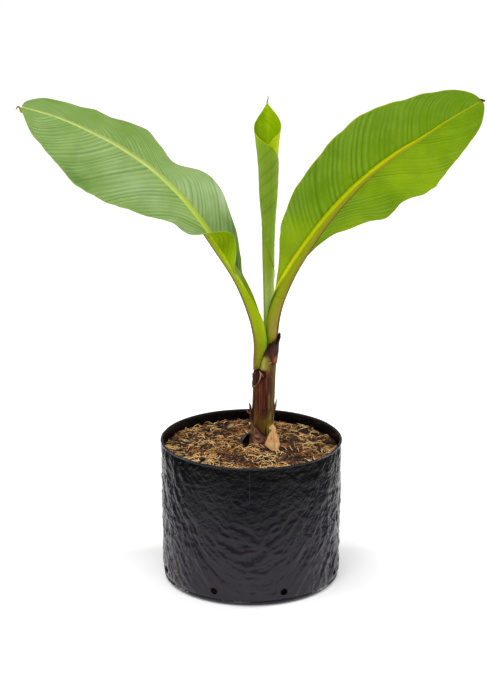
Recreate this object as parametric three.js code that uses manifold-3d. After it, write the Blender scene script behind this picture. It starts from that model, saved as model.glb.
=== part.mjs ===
// Young banana plant in a black polythene planter bag.
// Millimetres, +Z up. The origin is the centre of the bag's flat underside, and
// the front of the plant faces -Y.
//
// The pseudostem rises from a flat cut at the top of the potting mix. Its outer sheath ends
// in a slanting margin, above which three leaf stalks part: one to the left, one to the
// right and, behind them, the stalk of the centre leaf, which is still rolled up.

import * as THREE from 'three';
import { mergeVertices } from 'three/addons/utils/BufferGeometryUtils.js';
import Module from 'manifold-3d';

const { MathUtils, Vector2, Vector3 } = THREE;

// ---- driving dimensions ----

const GAP = 0.35; // clearance between two pieces that touch

const BAG = {
  height: 200,
  rimRadius: 125,
  footRadius: 122,
  cornerRadius: 10,
  film: 1.6,
  hemHeight: 2.6,
  hemLip: 0.8,
  sides: 48,
};
const DRAIN = {
  radius: 4.5,
  height: 14.5,
  sides: 14,
  frontAngles: [-77, -25, 22, 72], // degrees from the front; the back ones mirror them
};

const MIX = {
  edgeLevel: 186,
  mound: 3.5, // how much higher it lies round the foot of the stem
  moundReach: 60,
  lumpHeight: 0.8,
  lumpPitch: 15,
  smoothReach: 30, // the lumps fade out this close to the stem
  seatLevel: 188, // the flat the stem's foot stands on
};

const STEM = {
  axis: [[14.5, 14, 188], [16, 14, 220], [17, 14, 255], [18, 14, 290], [20, 14, 320], [23, 14, 356]],
  radii: [17.2, 15.8, 15.4, 15.3, 15.3, 15.3],
  sides: 28,
};
// The slanting margin of the outer sheath climbs from the left to the right.
const MARGIN_LOW = new Vector3(4, 0, 300);
const MARGIN_HIGH = new Vector3(34, 0, 344);

const BLADE_THICKNESS = 4.2;
const BLADE_ARCH = 0.05; // how far a half bulges upwards, as a share of its width
const BLADE_STATIONS = 33;
const BLADE_STRIPS = 4;
const TIP_START = 0.92; // the share of the blade where its rounded tip begins
const TIP_POWER = 2.6;
const STALK_SIDES = 12;
const PETIOLE_STATIONS = 12;
const STALK_ROOT = 26; // how far each stalk is carried down before it is cut at the margin

// Each leaf: the line of its rib from the fork to the tip; where its upper face looks, at the
// fork and at the tip; the rib's radius along that line; the share of the line where the
// blade begins. Each half has its side of the rib (+1 is the rib's right, seen from above
// with the tip away); the share of the blade where it stands clear of the rib; its width, and
// its fold in degrees up from flat, from foot to tip.
const LEFT_LEAF = {
  rib: [[12, 8, 300], [11, 8, 346], [1, 9, 386], [-18, 15, 428], [-46, 27, 470], [-84, 46, 520],
    [-127, 65, 561], [-174, 82, 592], [-222, 97, 615], [-269, 109, 633], [-317, 115, 646]],
  faceAtFork: [0.45, -0.50, 0.74],
  faceAtTip: [0.30, -0.55, 0.78],
  ribRadii: [10, 9.4, 7.9, 6.5, 5.2, 4.4, 3.8, 3.2, 2.5, 2, 1.6],
  bladeStart: 0.30,
};
const LEFT_NEAR_HALF = {
  side: -1,
  start: 0.02,
  widths: [5, 16, 27, 29, 36, 53, 63, 72, 75, 76, 70, 60, 51, 37, 8],
  folds: [72, 96, 134, 12, -12, -25, -30, -32, -32, -30, -28, -24, -20, -15, -10],
};
const LEFT_FAR_HALF = {
  side: 1,
  start: 0.05,
  widths: [1, 12, 29, 38, 50, 56, 41, 49, 71, 59, 49, 45, 39, 31, 20],
  folds: [80, 70, 60, 35, 15, 0, -8, -15, -15, -15, -12, -12, -10, -8, -5],
};

const RIGHT_LEAF = {
  rib: [[26, 18, 304], [26, 18, 340], [32, 14, 388], [49, 5, 436], [74, -8, 481], [105, -25, 530],
    [143, -47, 580], [186, -70, 624], [226, -88, 656], [261, -104, 685], [300, -118, 713]],
  faceAtFork: [-0.50, 0.70, 0.50],
  faceAtTip: [-0.30, 0.93, 0.15],
  ribRadii: [10, 10, 9.4, 8.8, 8, 7.2, 5.6, 4.4, 3, 2.2, 1.6],
  bladeStart: 0.24,
};
const RIGHT_UPPER_HALF = {
  side: 1,
  start: 0.08,
  widths: [2, 4, 18, 36, 50, 61, 70, 75, 80, 81, 77, 72, 62, 45, 26],
  folds: [60, 40, 30, 20, 14, 12, 10, 10, 10, 8, 6, 4, 0, 0, 0],
};
const RIGHT_LOWER_HALF = {
  side: -1,
  start: 0.09,
  widths: [1, 5, 12, 18, 28, 45, 62, 60, 66, 69, 58, 50, 43, 33, 14],
  folds: [50, 30, 10, 0, -12, -20, -25, -25, -25, -22, -20, -18, -15, -10, -5],
};

// The rolled centre leaf: its axis and radii, stalk first, then the rolled blade, which
// opens at the top into a hood with a pointed back wall.
const ROLLED_SIDES = 18;
const ROLLED_STALK = {
  axis: [[21, 22, 300], [25, 30, 340], [25, 30, 379]],
  radii: [6.6, 6.8, 6.8],
};
const ROLLED_BLADE = {
  axis: [[25, 30, 379], [24, 30, 422], [23, 30, 464], [23, 30, 506], [23, 30, 547], [23, 30, 579],
    [22, 30, 612], [22, 30, 641]],
  radii: [6.8, 6.9, 7.4, 9.1, 12.1, 13.4, 15.6, 19],
};
const HOOD = {
  wall: 3.6,
  floor: 606,
  notch: 614, // the lowest point of the V where the two wraps cross in front
  notchRise: 0.95, // the V climbs this many mm a mm sideways
  tip: [21, 42, 669],
  steps: 7,
  threadEnd: [22, 44, 679],
};

const COLOURS = {
  film: 0x1c1d1f,
  mix: 0x35231a,
  sheath: 0x4c3a2a,
  driedSheath: 0x3a241c,
  driedLeaf: 0xa98a5c,
  petiole: 0x7d8a1e,
  rib: 0xb4bf3c,
  upperFace: 0x5f8a3a,
  underFace: 0x6f9312,
  rolled: 0x6b8a2c,
};

// ---- solids ----

const wasm = await Module();
wasm.setup();

const group = new THREE.Group();

function addPiece(name, geometry, colour, roughness) {
  const material = new THREE.MeshStandardMaterial({ color: colour, roughness, metalness: 0 });
  const mesh = new THREE.Mesh(geometry, material);
  mesh.name = name;
  group.add(mesh);
}

// The same faces on shared points, with the slivers at a lathe's poles dropped and every
// face turned outwards.
function weld(geometry) {
  const bare = geometry.clone();
  bare.deleteAttribute('normal');
  bare.deleteAttribute('uv');
  const merged = mergeVertices(bare, 1e-4);
  const index = merged.index.array;
  const faces = [];
  for (let i = 0; i < index.length; i += 3) {
    const [a, b, c] = [index[i], index[i + 1], index[i + 2]];
    if (a !== b && b !== c && c !== a) faces.push([a, b, c]);
  }
  const corner = (i) => new Vector3().fromBufferAttribute(merged.attributes.position, i);
  const volume = faces.reduce((sum, [a, b, c]) => sum + corner(a).dot(corner(b).cross(corner(c))), 0);
  merged.setIndex(faces.flatMap(([a, b, c]) => (volume < 0 ? [a, c, b] : [a, b, c])));
  return merged;
}

function toSolid(geometry) {
  const welded = weld(geometry);
  return new wasm.Manifold(new wasm.Mesh({
    numProp: 3,
    vertProperties: welded.attributes.position.array,
    triVerts: new Uint32Array(welded.index.array),
  }));
}

function toGeometry(solid) {
  const mesh = solid.getMesh();
  const geometry = new THREE.BufferGeometry();
  geometry.setAttribute('position', new THREE.Float32BufferAttribute(mesh.vertProperties, 3));
  geometry.setIndex(Array.from(mesh.triVerts));
  return geometry;
}

function cut(geometry, ...tools) {
  return toGeometry(tools.reduce((solid, tool) => solid.subtract(toSolid(tool)), toSolid(geometry)));
}

function join(first, second) {
  return toGeometry(toSolid(first).add(toSolid(second)));
}

// A closed skin over a row of rings that have the same even number of points. Each end is
// closed by strips from one half of its ring to the other, so that a bent ring stays hollow.
function loft(rings) {
  const count = rings[0].length;
  const lastRing = (rings.length - 1) * count;
  const faces = [];
  for (let row = 0; row < lastRing; row += count) {
    for (let k = 0; k < count; k++) {
      const next = (k + 1) % count;
      faces.push(row + k, row + next, row + count + next);
      faces.push(row + k, row + count + next, row + count + k);
    }
  }
  for (let k = 0; k < count / 2 - 1; k++) {
    const across = count - 1 - k;
    faces.push(k, across - 1, k + 1, k, across, across - 1);
    faces.push(lastRing + k, lastRing + k + 1, lastRing + across - 1);
    faces.push(lastRing + k, lastRing + across - 1, lastRing + across);
  }
  return weld(new THREE.BufferGeometry().setFromPoints(rings.flat()).setIndex(faces));
}

const toVector = (xyz) => new Vector3(...xyz);
const curveThrough = (points) => new THREE.CatmullRomCurve3(points.map(toVector), false, 'catmullrom', 0.5);

// A smooth run of values from one end (0) to the other (1).
function profile(values) {
  const curve = curveThrough(values.map((value) => [value, 0, 0]));
  return (t) => curve.getPoint(MathUtils.clamp(t, 0, 1)).x;
}

const steps = (count, from = 0, to = 1) =>
  Array.from({ length: count + 1 }, (_, i) => MathUtils.lerp(from, to, i / count));

function circle(centre, across, along, radius, sides) {
  return steps(sides).slice(1).map((share) => {
    const angle = 2 * Math.PI * share;
    return centre.clone()
      .addScaledVector(across, radius * Math.cos(angle))
      .addScaledVector(along, radius * Math.sin(angle));
  });
}

// ---- planter bag and potting mix ----

function cornerArc(radius, inset, floor) {
  return steps(4).map((share) => {
    const angle = share * Math.PI / 2;
    const reach = radius * Math.sin(angle);
    return new Vector2(inset + reach, floor + radius * (1 - Math.cos(angle)));
  });
}

const wallRadius = (z) => MathUtils.mapLinear(z, BAG.cornerRadius, BAG.height, BAG.footRadius, BAG.rimRadius);

function turned(outline) {
  return new THREE.LatheGeometry(outline, BAG.sides).rotateX(Math.PI / 2);
}

function planterBag() {
  const { height, footRadius, cornerRadius, film, hemHeight, hemLip } = BAG;
  const corner = footRadius - cornerRadius;
  const hemFoot = height - hemHeight;
  const outline = [
    new Vector2(0, 0),
    ...cornerArc(cornerRadius, corner, 0),
    new Vector2(wallRadius(hemFoot) - hemLip, hemFoot - hemLip),
    new Vector2(wallRadius(hemFoot), hemFoot),
    new Vector2(wallRadius(height), height),
    new Vector2(wallRadius(height) - hemLip - film, height),
    ...cornerArc(cornerRadius - film, corner - hemLip, film).reverse(),
    new Vector2(0, film),
  ];
  const backAngles = DRAIN.frontAngles.map((angle) => 180 - angle);
  const punchLength = 20;
  const drains = [...DRAIN.frontAngles, ...backAngles].map((angle) => {
    const punch = new THREE.CylinderGeometry(DRAIN.radius, DRAIN.radius, punchLength, DRAIN.sides);
    punch.translate(0, -footRadius, 0);
    punch.rotateZ(MathUtils.degToRad(angle));
    return punch.translate(0, 0, DRAIN.height);
  });
  return cut(turned(outline), ...drains);
}

function mixLevel(x, y) {
  const fromStem = Math.hypot(x - STEM.axis[0][0], y - STEM.axis[0][1]);
  const mound = MIX.mound * Math.exp(-((fromStem / MIX.moundReach) ** 2));
  const lumps = MIX.lumpHeight * Math.sin(x / MIX.lumpPitch + 1) * Math.cos(y / MIX.lumpPitch);
  return MIX.edgeLevel + mound + lumps * (1 - Math.exp(-((fromStem / MIX.smoothReach) ** 2)));
}

function pottingMix() {
  const { footRadius, cornerRadius, film, hemLip } = BAG;
  const clear = film + GAP;
  const edge = wallRadius(MIX.edgeLevel) - hemLip - clear;
  const outline = [
    new Vector2(0, clear),
    ...cornerArc(cornerRadius - clear, footRadius - cornerRadius - hemLip, clear),
    ...steps(6, edge, 0).map((radius) => new Vector2(radius, MIX.edgeLevel)),
  ];
  const mix = weld(turned(outline));
  const points = mix.attributes.position;
  for (let i = 0; i < points.count; i++) {
    if (points.getZ(i) > MIX.edgeLevel - 1) points.setZ(i, mixLevel(points.getX(i), points.getY(i)));
  }
  const seatDepth = 10;
  const seat = new THREE.CylinderGeometry(STEM.radii[0] + GAP, STEM.radii[0] + GAP, seatDepth, STEM.sides);
  seat.rotateX(Math.PI / 2);
  seat.translate(STEM.axis[0][0], STEM.axis[0][1], MIX.seatLevel + seatDepth / 2);
  return cut(mix, seat);
}

// ---- pseudostem and what is left of its old sheaths ----

const stemCurve = curveThrough(STEM.axis);
const stemRadius = profile(STEM.radii);
const ACROSS = new Vector3(1, 0, 0);
const BACKWARDS = new Vector3(0, 1, 0);
const stemFoot = STEM.axis[0][2];
const stemTop = STEM.axis.at(-1)[2];

// The share of the stem's line at which it reaches the height z, found by halving.
function stemShare(z) {
  const halvings = 24;
  let [low, high] = [0, 1];
  for (let i = 0; i < halvings; i++) {
    const middle = (low + high) / 2;
    if (stemCurve.getPoint(middle).z < z) low = middle;
    else high = middle;
  }
  return low;
}

// A block that fills one side of the sheath's slanting margin: 1 is above it, -1 below it.
function marginBlock(side, lift) {
  const climb = MARGIN_HIGH.clone().sub(MARGIN_LOW);
  const size = 400;
  const block = new THREE.BoxGeometry(size, size, size).translate(0, 0, side * size / 2 + lift);
  return block.rotateY(-Math.atan2(climb.z, climb.x)).translate(MARGIN_LOW.x, 0, MARGIN_LOW.z);
}

function pseudostem() {
  const rings = steps(10).map((t) => {
    const centre = stemCurve.getPoint(t);
    centre.z = MathUtils.lerp(stemFoot + GAP, stemTop, t);
    return circle(centre, ACROSS, BACKWARDS, stemRadius(t), STEM.sides);
  });
  return cut(loft(rings), marginBlock(1, 0));
}

// A strip of sheath that hugs the stem. Angles are in degrees round the stem, with 0 at +X
// and -90 at the front. It narrows to a point at its upper or lower end.
function sheathStrip({ angle, spread, low, high, lift, thickness, point }) {
  const rings = steps(6).map((share) => {
    const z = MathUtils.lerp(low, high, share);
    const t = stemShare(z);
    const centre = stemCurve.getPoint(t).setZ(z);
    const inner = stemRadius(t) + GAP + MathUtils.lerp(lift[0], lift[1], share);
    const fromPoint = point === 'top' ? 1 - share : share;
    const half = spread * Math.max(0.15, Math.sqrt(fromPoint));
    const arc = (radius, list) => list.map((offset) => {
      const turn = MathUtils.degToRad(angle + offset * half);
      return centre.clone().add(new Vector3(Math.cos(turn), Math.sin(turn), 0).multiplyScalar(radius));
    });
    const offsets = steps(8, -1, 1);
    return [...arc(inner, offsets), ...arc(inner + thickness, offsets.reverse())];
  });
  return loft(rings);
}

// The stub of an old sheath's rib: a small spike that stands off the stem.
function spike({ angle, foot, length, radius }) {
  const turn = MathUtils.degToRad(angle);
  const outwards = new Vector3(Math.cos(turn), Math.sin(turn), 0);
  const t = stemShare(foot);
  const start = stemCurve.getPoint(t).setZ(foot).addScaledVector(outwards, stemRadius(t) + GAP + radius);
  const rings = steps(3).map((share) => {
    const centre = start.clone().addScaledVector(outwards, 0.5 * length * share).setZ(foot + length * share);
    return circle(centre, ACROSS, BACKWARDS, radius * (1 - 0.8 * share), 8);
  });
  return loft(rings);
}

// ---- open leaves ----

// The line of a leaf's rib, with the upward normal of its face and its sideways direction.
function leafFrame(leaf) {
  const rib = curveThrough(leaf.rib);
  const radius = profile(leaf.ribRadii);
  const faceAtFork = toVector(leaf.faceAtFork);
  const faceAtTip = toVector(leaf.faceAtTip);
  return (t) => {
    const tangent = rib.getTangent(t);
    const turn = MathUtils.clamp((t - leaf.bladeStart) / (1 - leaf.bladeStart), 0, 1);
    const face = faceAtFork.clone().lerp(faceAtTip, turn);
    const normal = face.addScaledVector(tangent, -face.dot(tangent)).normalize();
    const sideways = tangent.clone().cross(normal);
    return { centre: rib.getPoint(t), tangent, normal, sideways, radius: radius(t) };
  };
}

function ribRings(leaf, shares, grow) {
  const frameAt = leafFrame(leaf);
  return shares.map((t) => {
    const { centre, sideways, normal, radius } = frameAt(t);
    return circle(centre, sideways, normal, radius + grow, STALK_SIDES);
  });
}

// The stalk from the fork to the blade. Its first ring is carried down along the stalk, so
// that the cut at the sheath's margin goes right through it.
function petiole(leaf, grow = 0) {
  const rings = ribRings(leaf, steps(PETIOLE_STATIONS, 0, leaf.bladeStart), grow);
  const down = leafFrame(leaf)(0).tangent.multiplyScalar(-STALK_ROOT);
  const root = rings[0].map((point) => point.clone().add(down));
  return loft([root, ...rings]);
}

function midrib(leaf, grow = 0) {
  const rings = ribRings(leaf, steps(BLADE_STATIONS, leaf.bladeStart, 1), grow);
  const ahead = leafFrame(leaf)(leaf.bladeStart).tangent.multiplyScalar(GAP);
  rings[0] = rings[0].map((point) => point.clone().add(ahead));
  return loft(rings);
}

function tipFactor(v) {
  const into = Math.max(0, (v - TIP_START) / (1 - TIP_START));
  return (1 - into ** TIP_POWER) ** (1 / TIP_POWER);
}

// Half a blade: a slab that starts clear of the rib and runs out to the margin.
function bladeHalf(leaf, half, grow = 0) {
  const frameAt = leafFrame(leaf);
  const width = profile(half.widths);
  const fold = profile(half.folds);
  const leastWidth = 3;
  const thick = BLADE_THICKNESS / 2 + grow;
  const rings = steps(BLADE_STATIONS, half.start, 1).map((v) => {
    const { centre, normal, sideways, radius } = frameAt(MathUtils.lerp(leaf.bladeStart, 1, v));
    const angle = MathUtils.degToRad(fold(v));
    const outwards = sideways.clone().multiplyScalar(half.side * Math.cos(angle))
      .addScaledVector(normal, Math.sin(angle));
    const up = normal.clone().multiplyScalar(Math.cos(angle))
      .addScaledVector(sideways, -half.side * Math.sin(angle));
    const root = normal.clone().multiplyScalar(0.45 * radius)
      .addScaledVector(sideways, half.side * 0.7 * radius);
    const offCentre = Math.max(0, Math.abs(root.dot(up)) - BLADE_THICKNESS / 2);
    const clear = Math.sqrt(Math.max(0, (radius + GAP) ** 2 - offCentre ** 2));
    const inner = clear - root.dot(outwards) - grow;
    const outer = Math.max(width(v) * tipFactor(v), inner + leastWidth) + grow;
    const skin = (list, offset) => list.map((u) => centre.clone().add(root)
      .addScaledVector(outwards, MathUtils.lerp(inner, outer, u))
      .addScaledVector(up, offset + BLADE_ARCH * width(v) * Math.sin(Math.PI * u)));
    const across = steps(BLADE_STRIPS);
    return [...skin(across, thick), ...skin(across.reverse(), -thick)];
  });
  return loft(rings);
}

// ---- rolled centre leaf ----

const rolledRing = (centre, radius) => circle(centre, ACROSS, BACKWARDS, radius, ROLLED_SIDES);

function stalkRings(grow) {
  const curve = curveThrough(ROLLED_STALK.axis);
  const radius = profile(ROLLED_STALK.radii);
  const rings = steps(6).map((t) => rolledRing(curve.getPoint(t), radius(t) + grow));
  const root = rings[0].map((point) => point.clone().setZ(point.z - STALK_ROOT));
  return [root, ...rings];
}

function bladeRings(shares, grow) {
  const curve = curveThrough(ROLLED_BLADE.axis);
  const radius = profile(ROLLED_BLADE.radii);
  return shares.map((t) => rolledRing(curve.getPoint(t), radius(t) + grow));
}

// The hood above the widest ring narrows like a pointed arch towards its back wall.
function hoodRings(shares, grow) {
  const widest = toVector(ROLLED_BLADE.axis.at(-1));
  return shares.map((share) => {
    const radius = ROLLED_BLADE.radii.at(-1) * Math.cos(share * Math.PI / 2) ** 0.8;
    return rolledRing(widest.clone().lerp(toVector(HOOD.tip), share), Math.max(0.8, radius + grow));
  });
}

const hoodShares = steps(HOOD.steps).slice(1);

// The whole rolled leaf, grown by the gap that its neighbours keep to it.
function rolledClearance() {
  return loft([
    ...stalkRings(GAP),
    ...bladeRings(steps(18).slice(1), GAP),
    ...hoodRings(hoodShares, GAP),
  ]);
}

function rolledBlade() {
  const sides = bladeRings(steps(18), 0);
  sides[0] = sides[0].map((point) => point.clone().setZ(point.z + GAP));
  const outer = loft([...sides, ...hoodRings(hoodShares, 0)]);

  const [foot, widest] = [ROLLED_BLADE.axis[0], ROLLED_BLADE.axis.at(-1)];
  const hollowFrom = MathUtils.inverseLerp(foot[2], widest[2], HOOD.floor);
  const hollow = loft([
    ...bladeRings(steps(4, hollowFrom, 1), -HOOD.wall),
    ...hoodRings(hoodShares.slice(0, -1), -HOOD.wall),
  ]);
  const rise = HOOD.tip[2] - HOOD.notch + HOOD.wall;
  const reach = rise / HOOD.notchRise;
  const vee = new THREE.Shape([new Vector2(0, 0), new Vector2(reach, rise), new Vector2(-reach, rise)]);
  const notch = new THREE.ExtrudeGeometry(vee, { depth: 3 * widest[1], bevelEnabled: false });
  notch.rotateX(Math.PI / 2);
  notch.translate(widest[0], widest[1], HOOD.notch);
  const thread = loft([...hoodRings([1], 0), rolledRing(toVector(HOOD.threadEnd), 0.5)]);
  return join(cut(outer, hollow, notch), thread);
}

// ---- assembly ----

addPiece('planter_bag', planterBag(), COLOURS.film, 0.35);
addPiece('potting_mix', pottingMix(), COLOURS.mix, 1);
addPiece('pseudostem', pseudostem(), COLOURS.sheath, 0.6);

addPiece('foot_scale', sheathStrip({
  angle: -105, spread: 62, low: 190.5, high: 207, lift: [0.4, 0.4], thickness: 1.5, point: 'top',
}), COLOURS.driedSheath, 0.6);
addPiece('dried_collar', sheathStrip({
  angle: 5, spread: 42, low: 318, high: 348, lift: [0.2, 0.4], thickness: 1.2, point: 'top',
}), COLOURS.driedSheath, 0.8);
addPiece('torn_sheath_scrap', sheathStrip({
  angle: -122, spread: 24, low: 278, high: 301, lift: [1.2, 0.2], thickness: 1.2, point: 'bottom',
}), COLOURS.driedSheath, 0.8);
addPiece('tan_leaf_scrap', sheathStrip({
  angle: -54, spread: 24, low: 189.7, high: 223, lift: [8, 5], thickness: 1.2, point: 'top',
}), COLOURS.driedLeaf, 0.9);
addPiece('dark_sheath_scrap', sheathStrip({
  angle: -155, spread: 22, low: 189.7, high: 205, lift: [9, 10], thickness: 1.2, point: 'top',
}), COLOURS.driedSheath, 0.8);
addPiece('left_spike', spike({ angle: -167, foot: 241, length: 7, radius: 1.3 }), COLOURS.driedSheath, 0.8);
addPiece('right_spike', spike({ angle: -12, foot: 246, length: 7, radius: 1.3 }), COLOURS.driedSheath, 0.8);

const belowMargin = marginBlock(-1, GAP);
const nearRolled = rolledClearance();
addPiece('rolled_leaf_stalk', cut(loft(stalkRings(0)), belowMargin), COLOURS.petiole, 0.5);
addPiece('rolled_leaf', rolledBlade(), COLOURS.rolled, 0.5);

const rightUpper = bladeHalf(RIGHT_LEAF, RIGHT_UPPER_HALF);
addPiece('right_petiole', cut(petiole(RIGHT_LEAF), belowMargin, nearRolled), COLOURS.petiole, 0.45);
addPiece('right_midrib', midrib(RIGHT_LEAF), COLOURS.rib, 0.45);
addPiece('right_blade_upper', cut(rightUpper, nearRolled), COLOURS.underFace, 0.5);
addPiece('right_blade_lower', bladeHalf(RIGHT_LEAF, RIGHT_LOWER_HALF), COLOURS.underFace, 0.5);

const nearRight = petiole(RIGHT_LEAF, GAP);
const leftNear = cut(bladeHalf(LEFT_LEAF, LEFT_NEAR_HALF), midrib(LEFT_LEAF, GAP));
// The near half turns over sharply beside the far half, so more is cleared round it there.
const nearTurn = bladeHalf(LEFT_LEAF, LEFT_NEAR_HALF, 3 * GAP);
const leftFar = cut(bladeHalf(LEFT_LEAF, LEFT_FAR_HALF), nearTurn);
addPiece('left_petiole', cut(petiole(LEFT_LEAF), belowMargin, nearRight, nearRolled), COLOURS.petiole, 0.45);
addPiece('left_midrib', midrib(LEFT_LEAF), COLOURS.rib, 0.45);
addPiece('left_blade_near', leftNear, COLOURS.upperFace, 0.45);
addPiece('left_blade_far', leftFar, COLOURS.upperFace, 0.45);

export default group;
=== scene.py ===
# A young banana plant in a black planter bag, dressed piece by piece in the order in which
# it is put together: bag, potting mix, pseudostem with its old sheaths, the three leaves.
# Sizes are millimetres, turned into metres as each mesh is placed. +Z is up, -Y the front.
import itertools

import bpy
import numpy as np
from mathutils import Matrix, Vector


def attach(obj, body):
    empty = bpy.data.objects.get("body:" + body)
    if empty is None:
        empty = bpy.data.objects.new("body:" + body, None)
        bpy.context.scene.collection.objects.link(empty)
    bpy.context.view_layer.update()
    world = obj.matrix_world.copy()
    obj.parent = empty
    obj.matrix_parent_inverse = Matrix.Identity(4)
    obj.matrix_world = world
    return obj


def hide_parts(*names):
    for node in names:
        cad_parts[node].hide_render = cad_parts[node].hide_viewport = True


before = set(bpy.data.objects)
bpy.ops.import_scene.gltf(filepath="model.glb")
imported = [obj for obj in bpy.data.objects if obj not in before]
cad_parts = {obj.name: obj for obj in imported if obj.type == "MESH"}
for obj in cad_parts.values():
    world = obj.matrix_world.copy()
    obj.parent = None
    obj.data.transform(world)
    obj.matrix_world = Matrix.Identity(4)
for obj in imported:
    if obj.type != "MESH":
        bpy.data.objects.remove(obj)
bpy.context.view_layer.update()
MM = 0.001

# ---- Studio ----
# A pale floor that runs out to white, a white surround, and large soft lamps on both
# sides, overhead and behind, as for a plant shown on its own.
CAMERA_PLACE = (-0.01084, -4.1829, 1.7160)
CAMERA_TILT = 71.77  # degrees up from looking straight down
CAMERA_LENS = 166.96
CAMERA_REACH = 200
FLOOR_WIDTH = 60.0
SURROUND_GLOW = 0.24
FLOOR_GLOW = (0.20, 0.72)  # beside the plant and far out
FLOOR_FADE = (0.3, 1.4)  # the first holds as far out as this, the second from here on
# The pale sweep ends this far in front of the plant and to each side of it: where it begins to
# fall away and where it is gone. Only what mirrors it shows that.
SWEEP_FRONT = (-0.24, -0.62)
SWEEP_SIDES = (0.30, 0.54)
# Each lamp: where it hangs, the point it looks at, its width and height, its power.
LAMPS = {
    "left_lamp": ((-1.5, 0.35, 0.75), (0, 0, 0.25), 0.35, 1.5, 11.5),
    "right_lamp": ((1.5, 0.38, 0.75), (0, 0, 0.25), 0.35, 1.5, 18),
    "top_lamp": ((-0.2, -0.5, 2.3), (0, 0, 0.3), 1.4, 1.4, 27),
    "front_lamp": ((-0.9, -2.4, 2.4), (0, 0, 0.4), 1.0, 1.0, 16),
}


def linear(red, green, blue):
    """A colour given as 0 to 255 the way a screen shows it, as the shader wants it."""
    share = np.array([red, green, blue]) / 255
    return (*np.where(share <= 0.04045, share / 12.92, ((share + 0.055) / 1.055) ** 2.4), 1.0)


class Finish:
    """A surface finish: one Principled shader and the nodes that feed it."""

    def __init__(self, name, constants):
        self.material = bpy.data.materials.new(name)
        self.material.use_nodes = True
        self.tree = self.material.node_tree
        self.shader = self.tree.nodes["Principled BSDF"]
        for socket, value in constants.items():
            self.shader.inputs[socket].default_value = value

    def node(self, kind, inputs, **settings):
        made = self.tree.nodes.new("ShaderNode" + kind)
        for setting, value in settings.items():
            setattr(made, setting, value)
        for socket, value in inputs.items():
            self.give(made.inputs[socket], value)
        return made

    def give(self, socket, value):
        if isinstance(value, bpy.types.NodeSocket):
            self.tree.links.new(value, socket)
        else:
            socket.default_value = value

    def place(self, stretch=(1, 1, 1)):
        """The spot on the piece, in metres, stretched so that a pattern runs along it."""
        spot = self.node("TexCoord", {}).outputs["Object"]
        return self.node("Mapping", {"Vector": spot, "Scale": stretch}).outputs[0]

    def mark(self, name):
        """A value that the piece's own mesh carries from point to point."""
        return self.node("Attribute", {}, attribute_name=name).outputs

    def noise(self, where, scale, detail=3.0, rough=0.55):
        sockets = {"Vector": where, "Scale": scale, "Detail": detail, "Roughness": rough}
        return self.node("TexNoise", sockets).outputs["Fac"]

    def streaks(self, value, scale, detail=2.0):
        """Random values along a single line, for what runs in parallel, such as veins."""
        sockets = {"W": value, "Scale": scale, "Detail": detail}
        return self.node("TexNoise", sockets, noise_dimensions="1D").outputs["Fac"]

    def spots(self, where, scale):
        """How far each place is from the nearest of many scattered spots."""
        return self.node("TexVoronoi", {"Vector": where, "Scale": scale}).outputs["Distance"]

    def spread(self, value, low, high, to_low=0.0, to_high=1.0):
        """The value stretched from one range to another, and held there."""
        ends = {"From Min": low, "From Max": high, "To Min": to_low, "To Max": to_high}
        return self.node("MapRange", {"Value": value, **ends}).outputs[0]

    def sum(self, *values, by="ADD"):
        total = values[0]
        for value in values[1:]:
            total = self.node("Math", {0: total, 1: value}, operation=by).outputs[0]
        return total

    def times(self, *values):
        return self.sum(*values, by="MULTIPLY")

    def blend(self, share, first, second):
        """One colour that turns into another. Each is a socket, or red, green and blue."""
        ends = (linear(*end) if isinstance(end, tuple) else end for end in (first, second))
        return self.node("Mix", dict(zip((0, 6, 7), (share, *ends))), data_type="RGBA").outputs[2]

    def over(self, ground, *layers):
        """A ground with layers of (share, colour) laid over it."""
        for share, colour in layers:
            ground = self.blend(share, ground, colour)
        return ground

    def relief(self, height, depth, below=None):
        """Fine relief that is too small to model, on top of any coarser one below it."""
        sockets = {"Height": height, "Distance": depth, "Strength": 1.0}
        if below is not None:
            sockets["Normal"] = below
        return self.node("Bump", sockets).outputs[0]

    def wear(self, colour=None, roughness=None, normal=None):
        """Feeds the shader and hands the finished material back."""
        for socket, value in (("Base Color", colour), ("Roughness", roughness), ("Normal", normal)):
            if value is not None:
                self.give(self.shader.inputs[socket], value)
        return self.material


def aim(thing, place, target):
    """Hangs a lamp in its place and turns it to what it lights."""
    thing.location = place
    forward = Vector(target) - Vector(place)
    thing.rotation_euler = forward.to_track_quat("-Z", "Y").to_euler()


camera_data = bpy.data.cameras.new("camera")
camera_data.lens = CAMERA_LENS
camera_data.clip_end = CAMERA_REACH
camera = bpy.data.objects.new("camera", camera_data)
camera.location = CAMERA_PLACE
camera.rotation_euler = (np.radians(CAMERA_TILT), 0, 0)
bpy.context.collection.objects.link(camera)
bpy.context.scene.camera = camera
bpy.context.scene.view_settings.view_transform = "Standard"

for lamp_name, (place, target, width, height, power) in LAMPS.items():
    lamp_data = bpy.data.lights.new(lamp_name, "AREA")
    lamp_data.shape = "RECTANGLE"
    lamp_data.size = width
    lamp_data.size_y = height
    lamp_data.energy = power
    lamp = bpy.data.objects.new(lamp_name, lamp_data)
    bpy.context.collection.objects.link(lamp)
    aim(lamp, place, target)

surround = bpy.data.worlds.new("surround")
surround.use_nodes = True
bpy.context.scene.world = surround
backdrop = surround.node_tree.nodes["Background"]
backdrop.inputs["Color"].default_value = (1, 1, 1, 1)
ray = surround.node_tree.nodes.new("ShaderNodeLightPath")
glow = surround.node_tree.nodes.new("ShaderNodeMapRange")
glow.inputs["To Min"].default_value = SURROUND_GLOW
glow.inputs["To Max"].default_value = 1.0
surround.node_tree.links.new(ray.outputs["Is Camera Ray"], glow.inputs["Value"])
surround.node_tree.links.new(glow.outputs[0], backdrop.inputs["Strength"])

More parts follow.
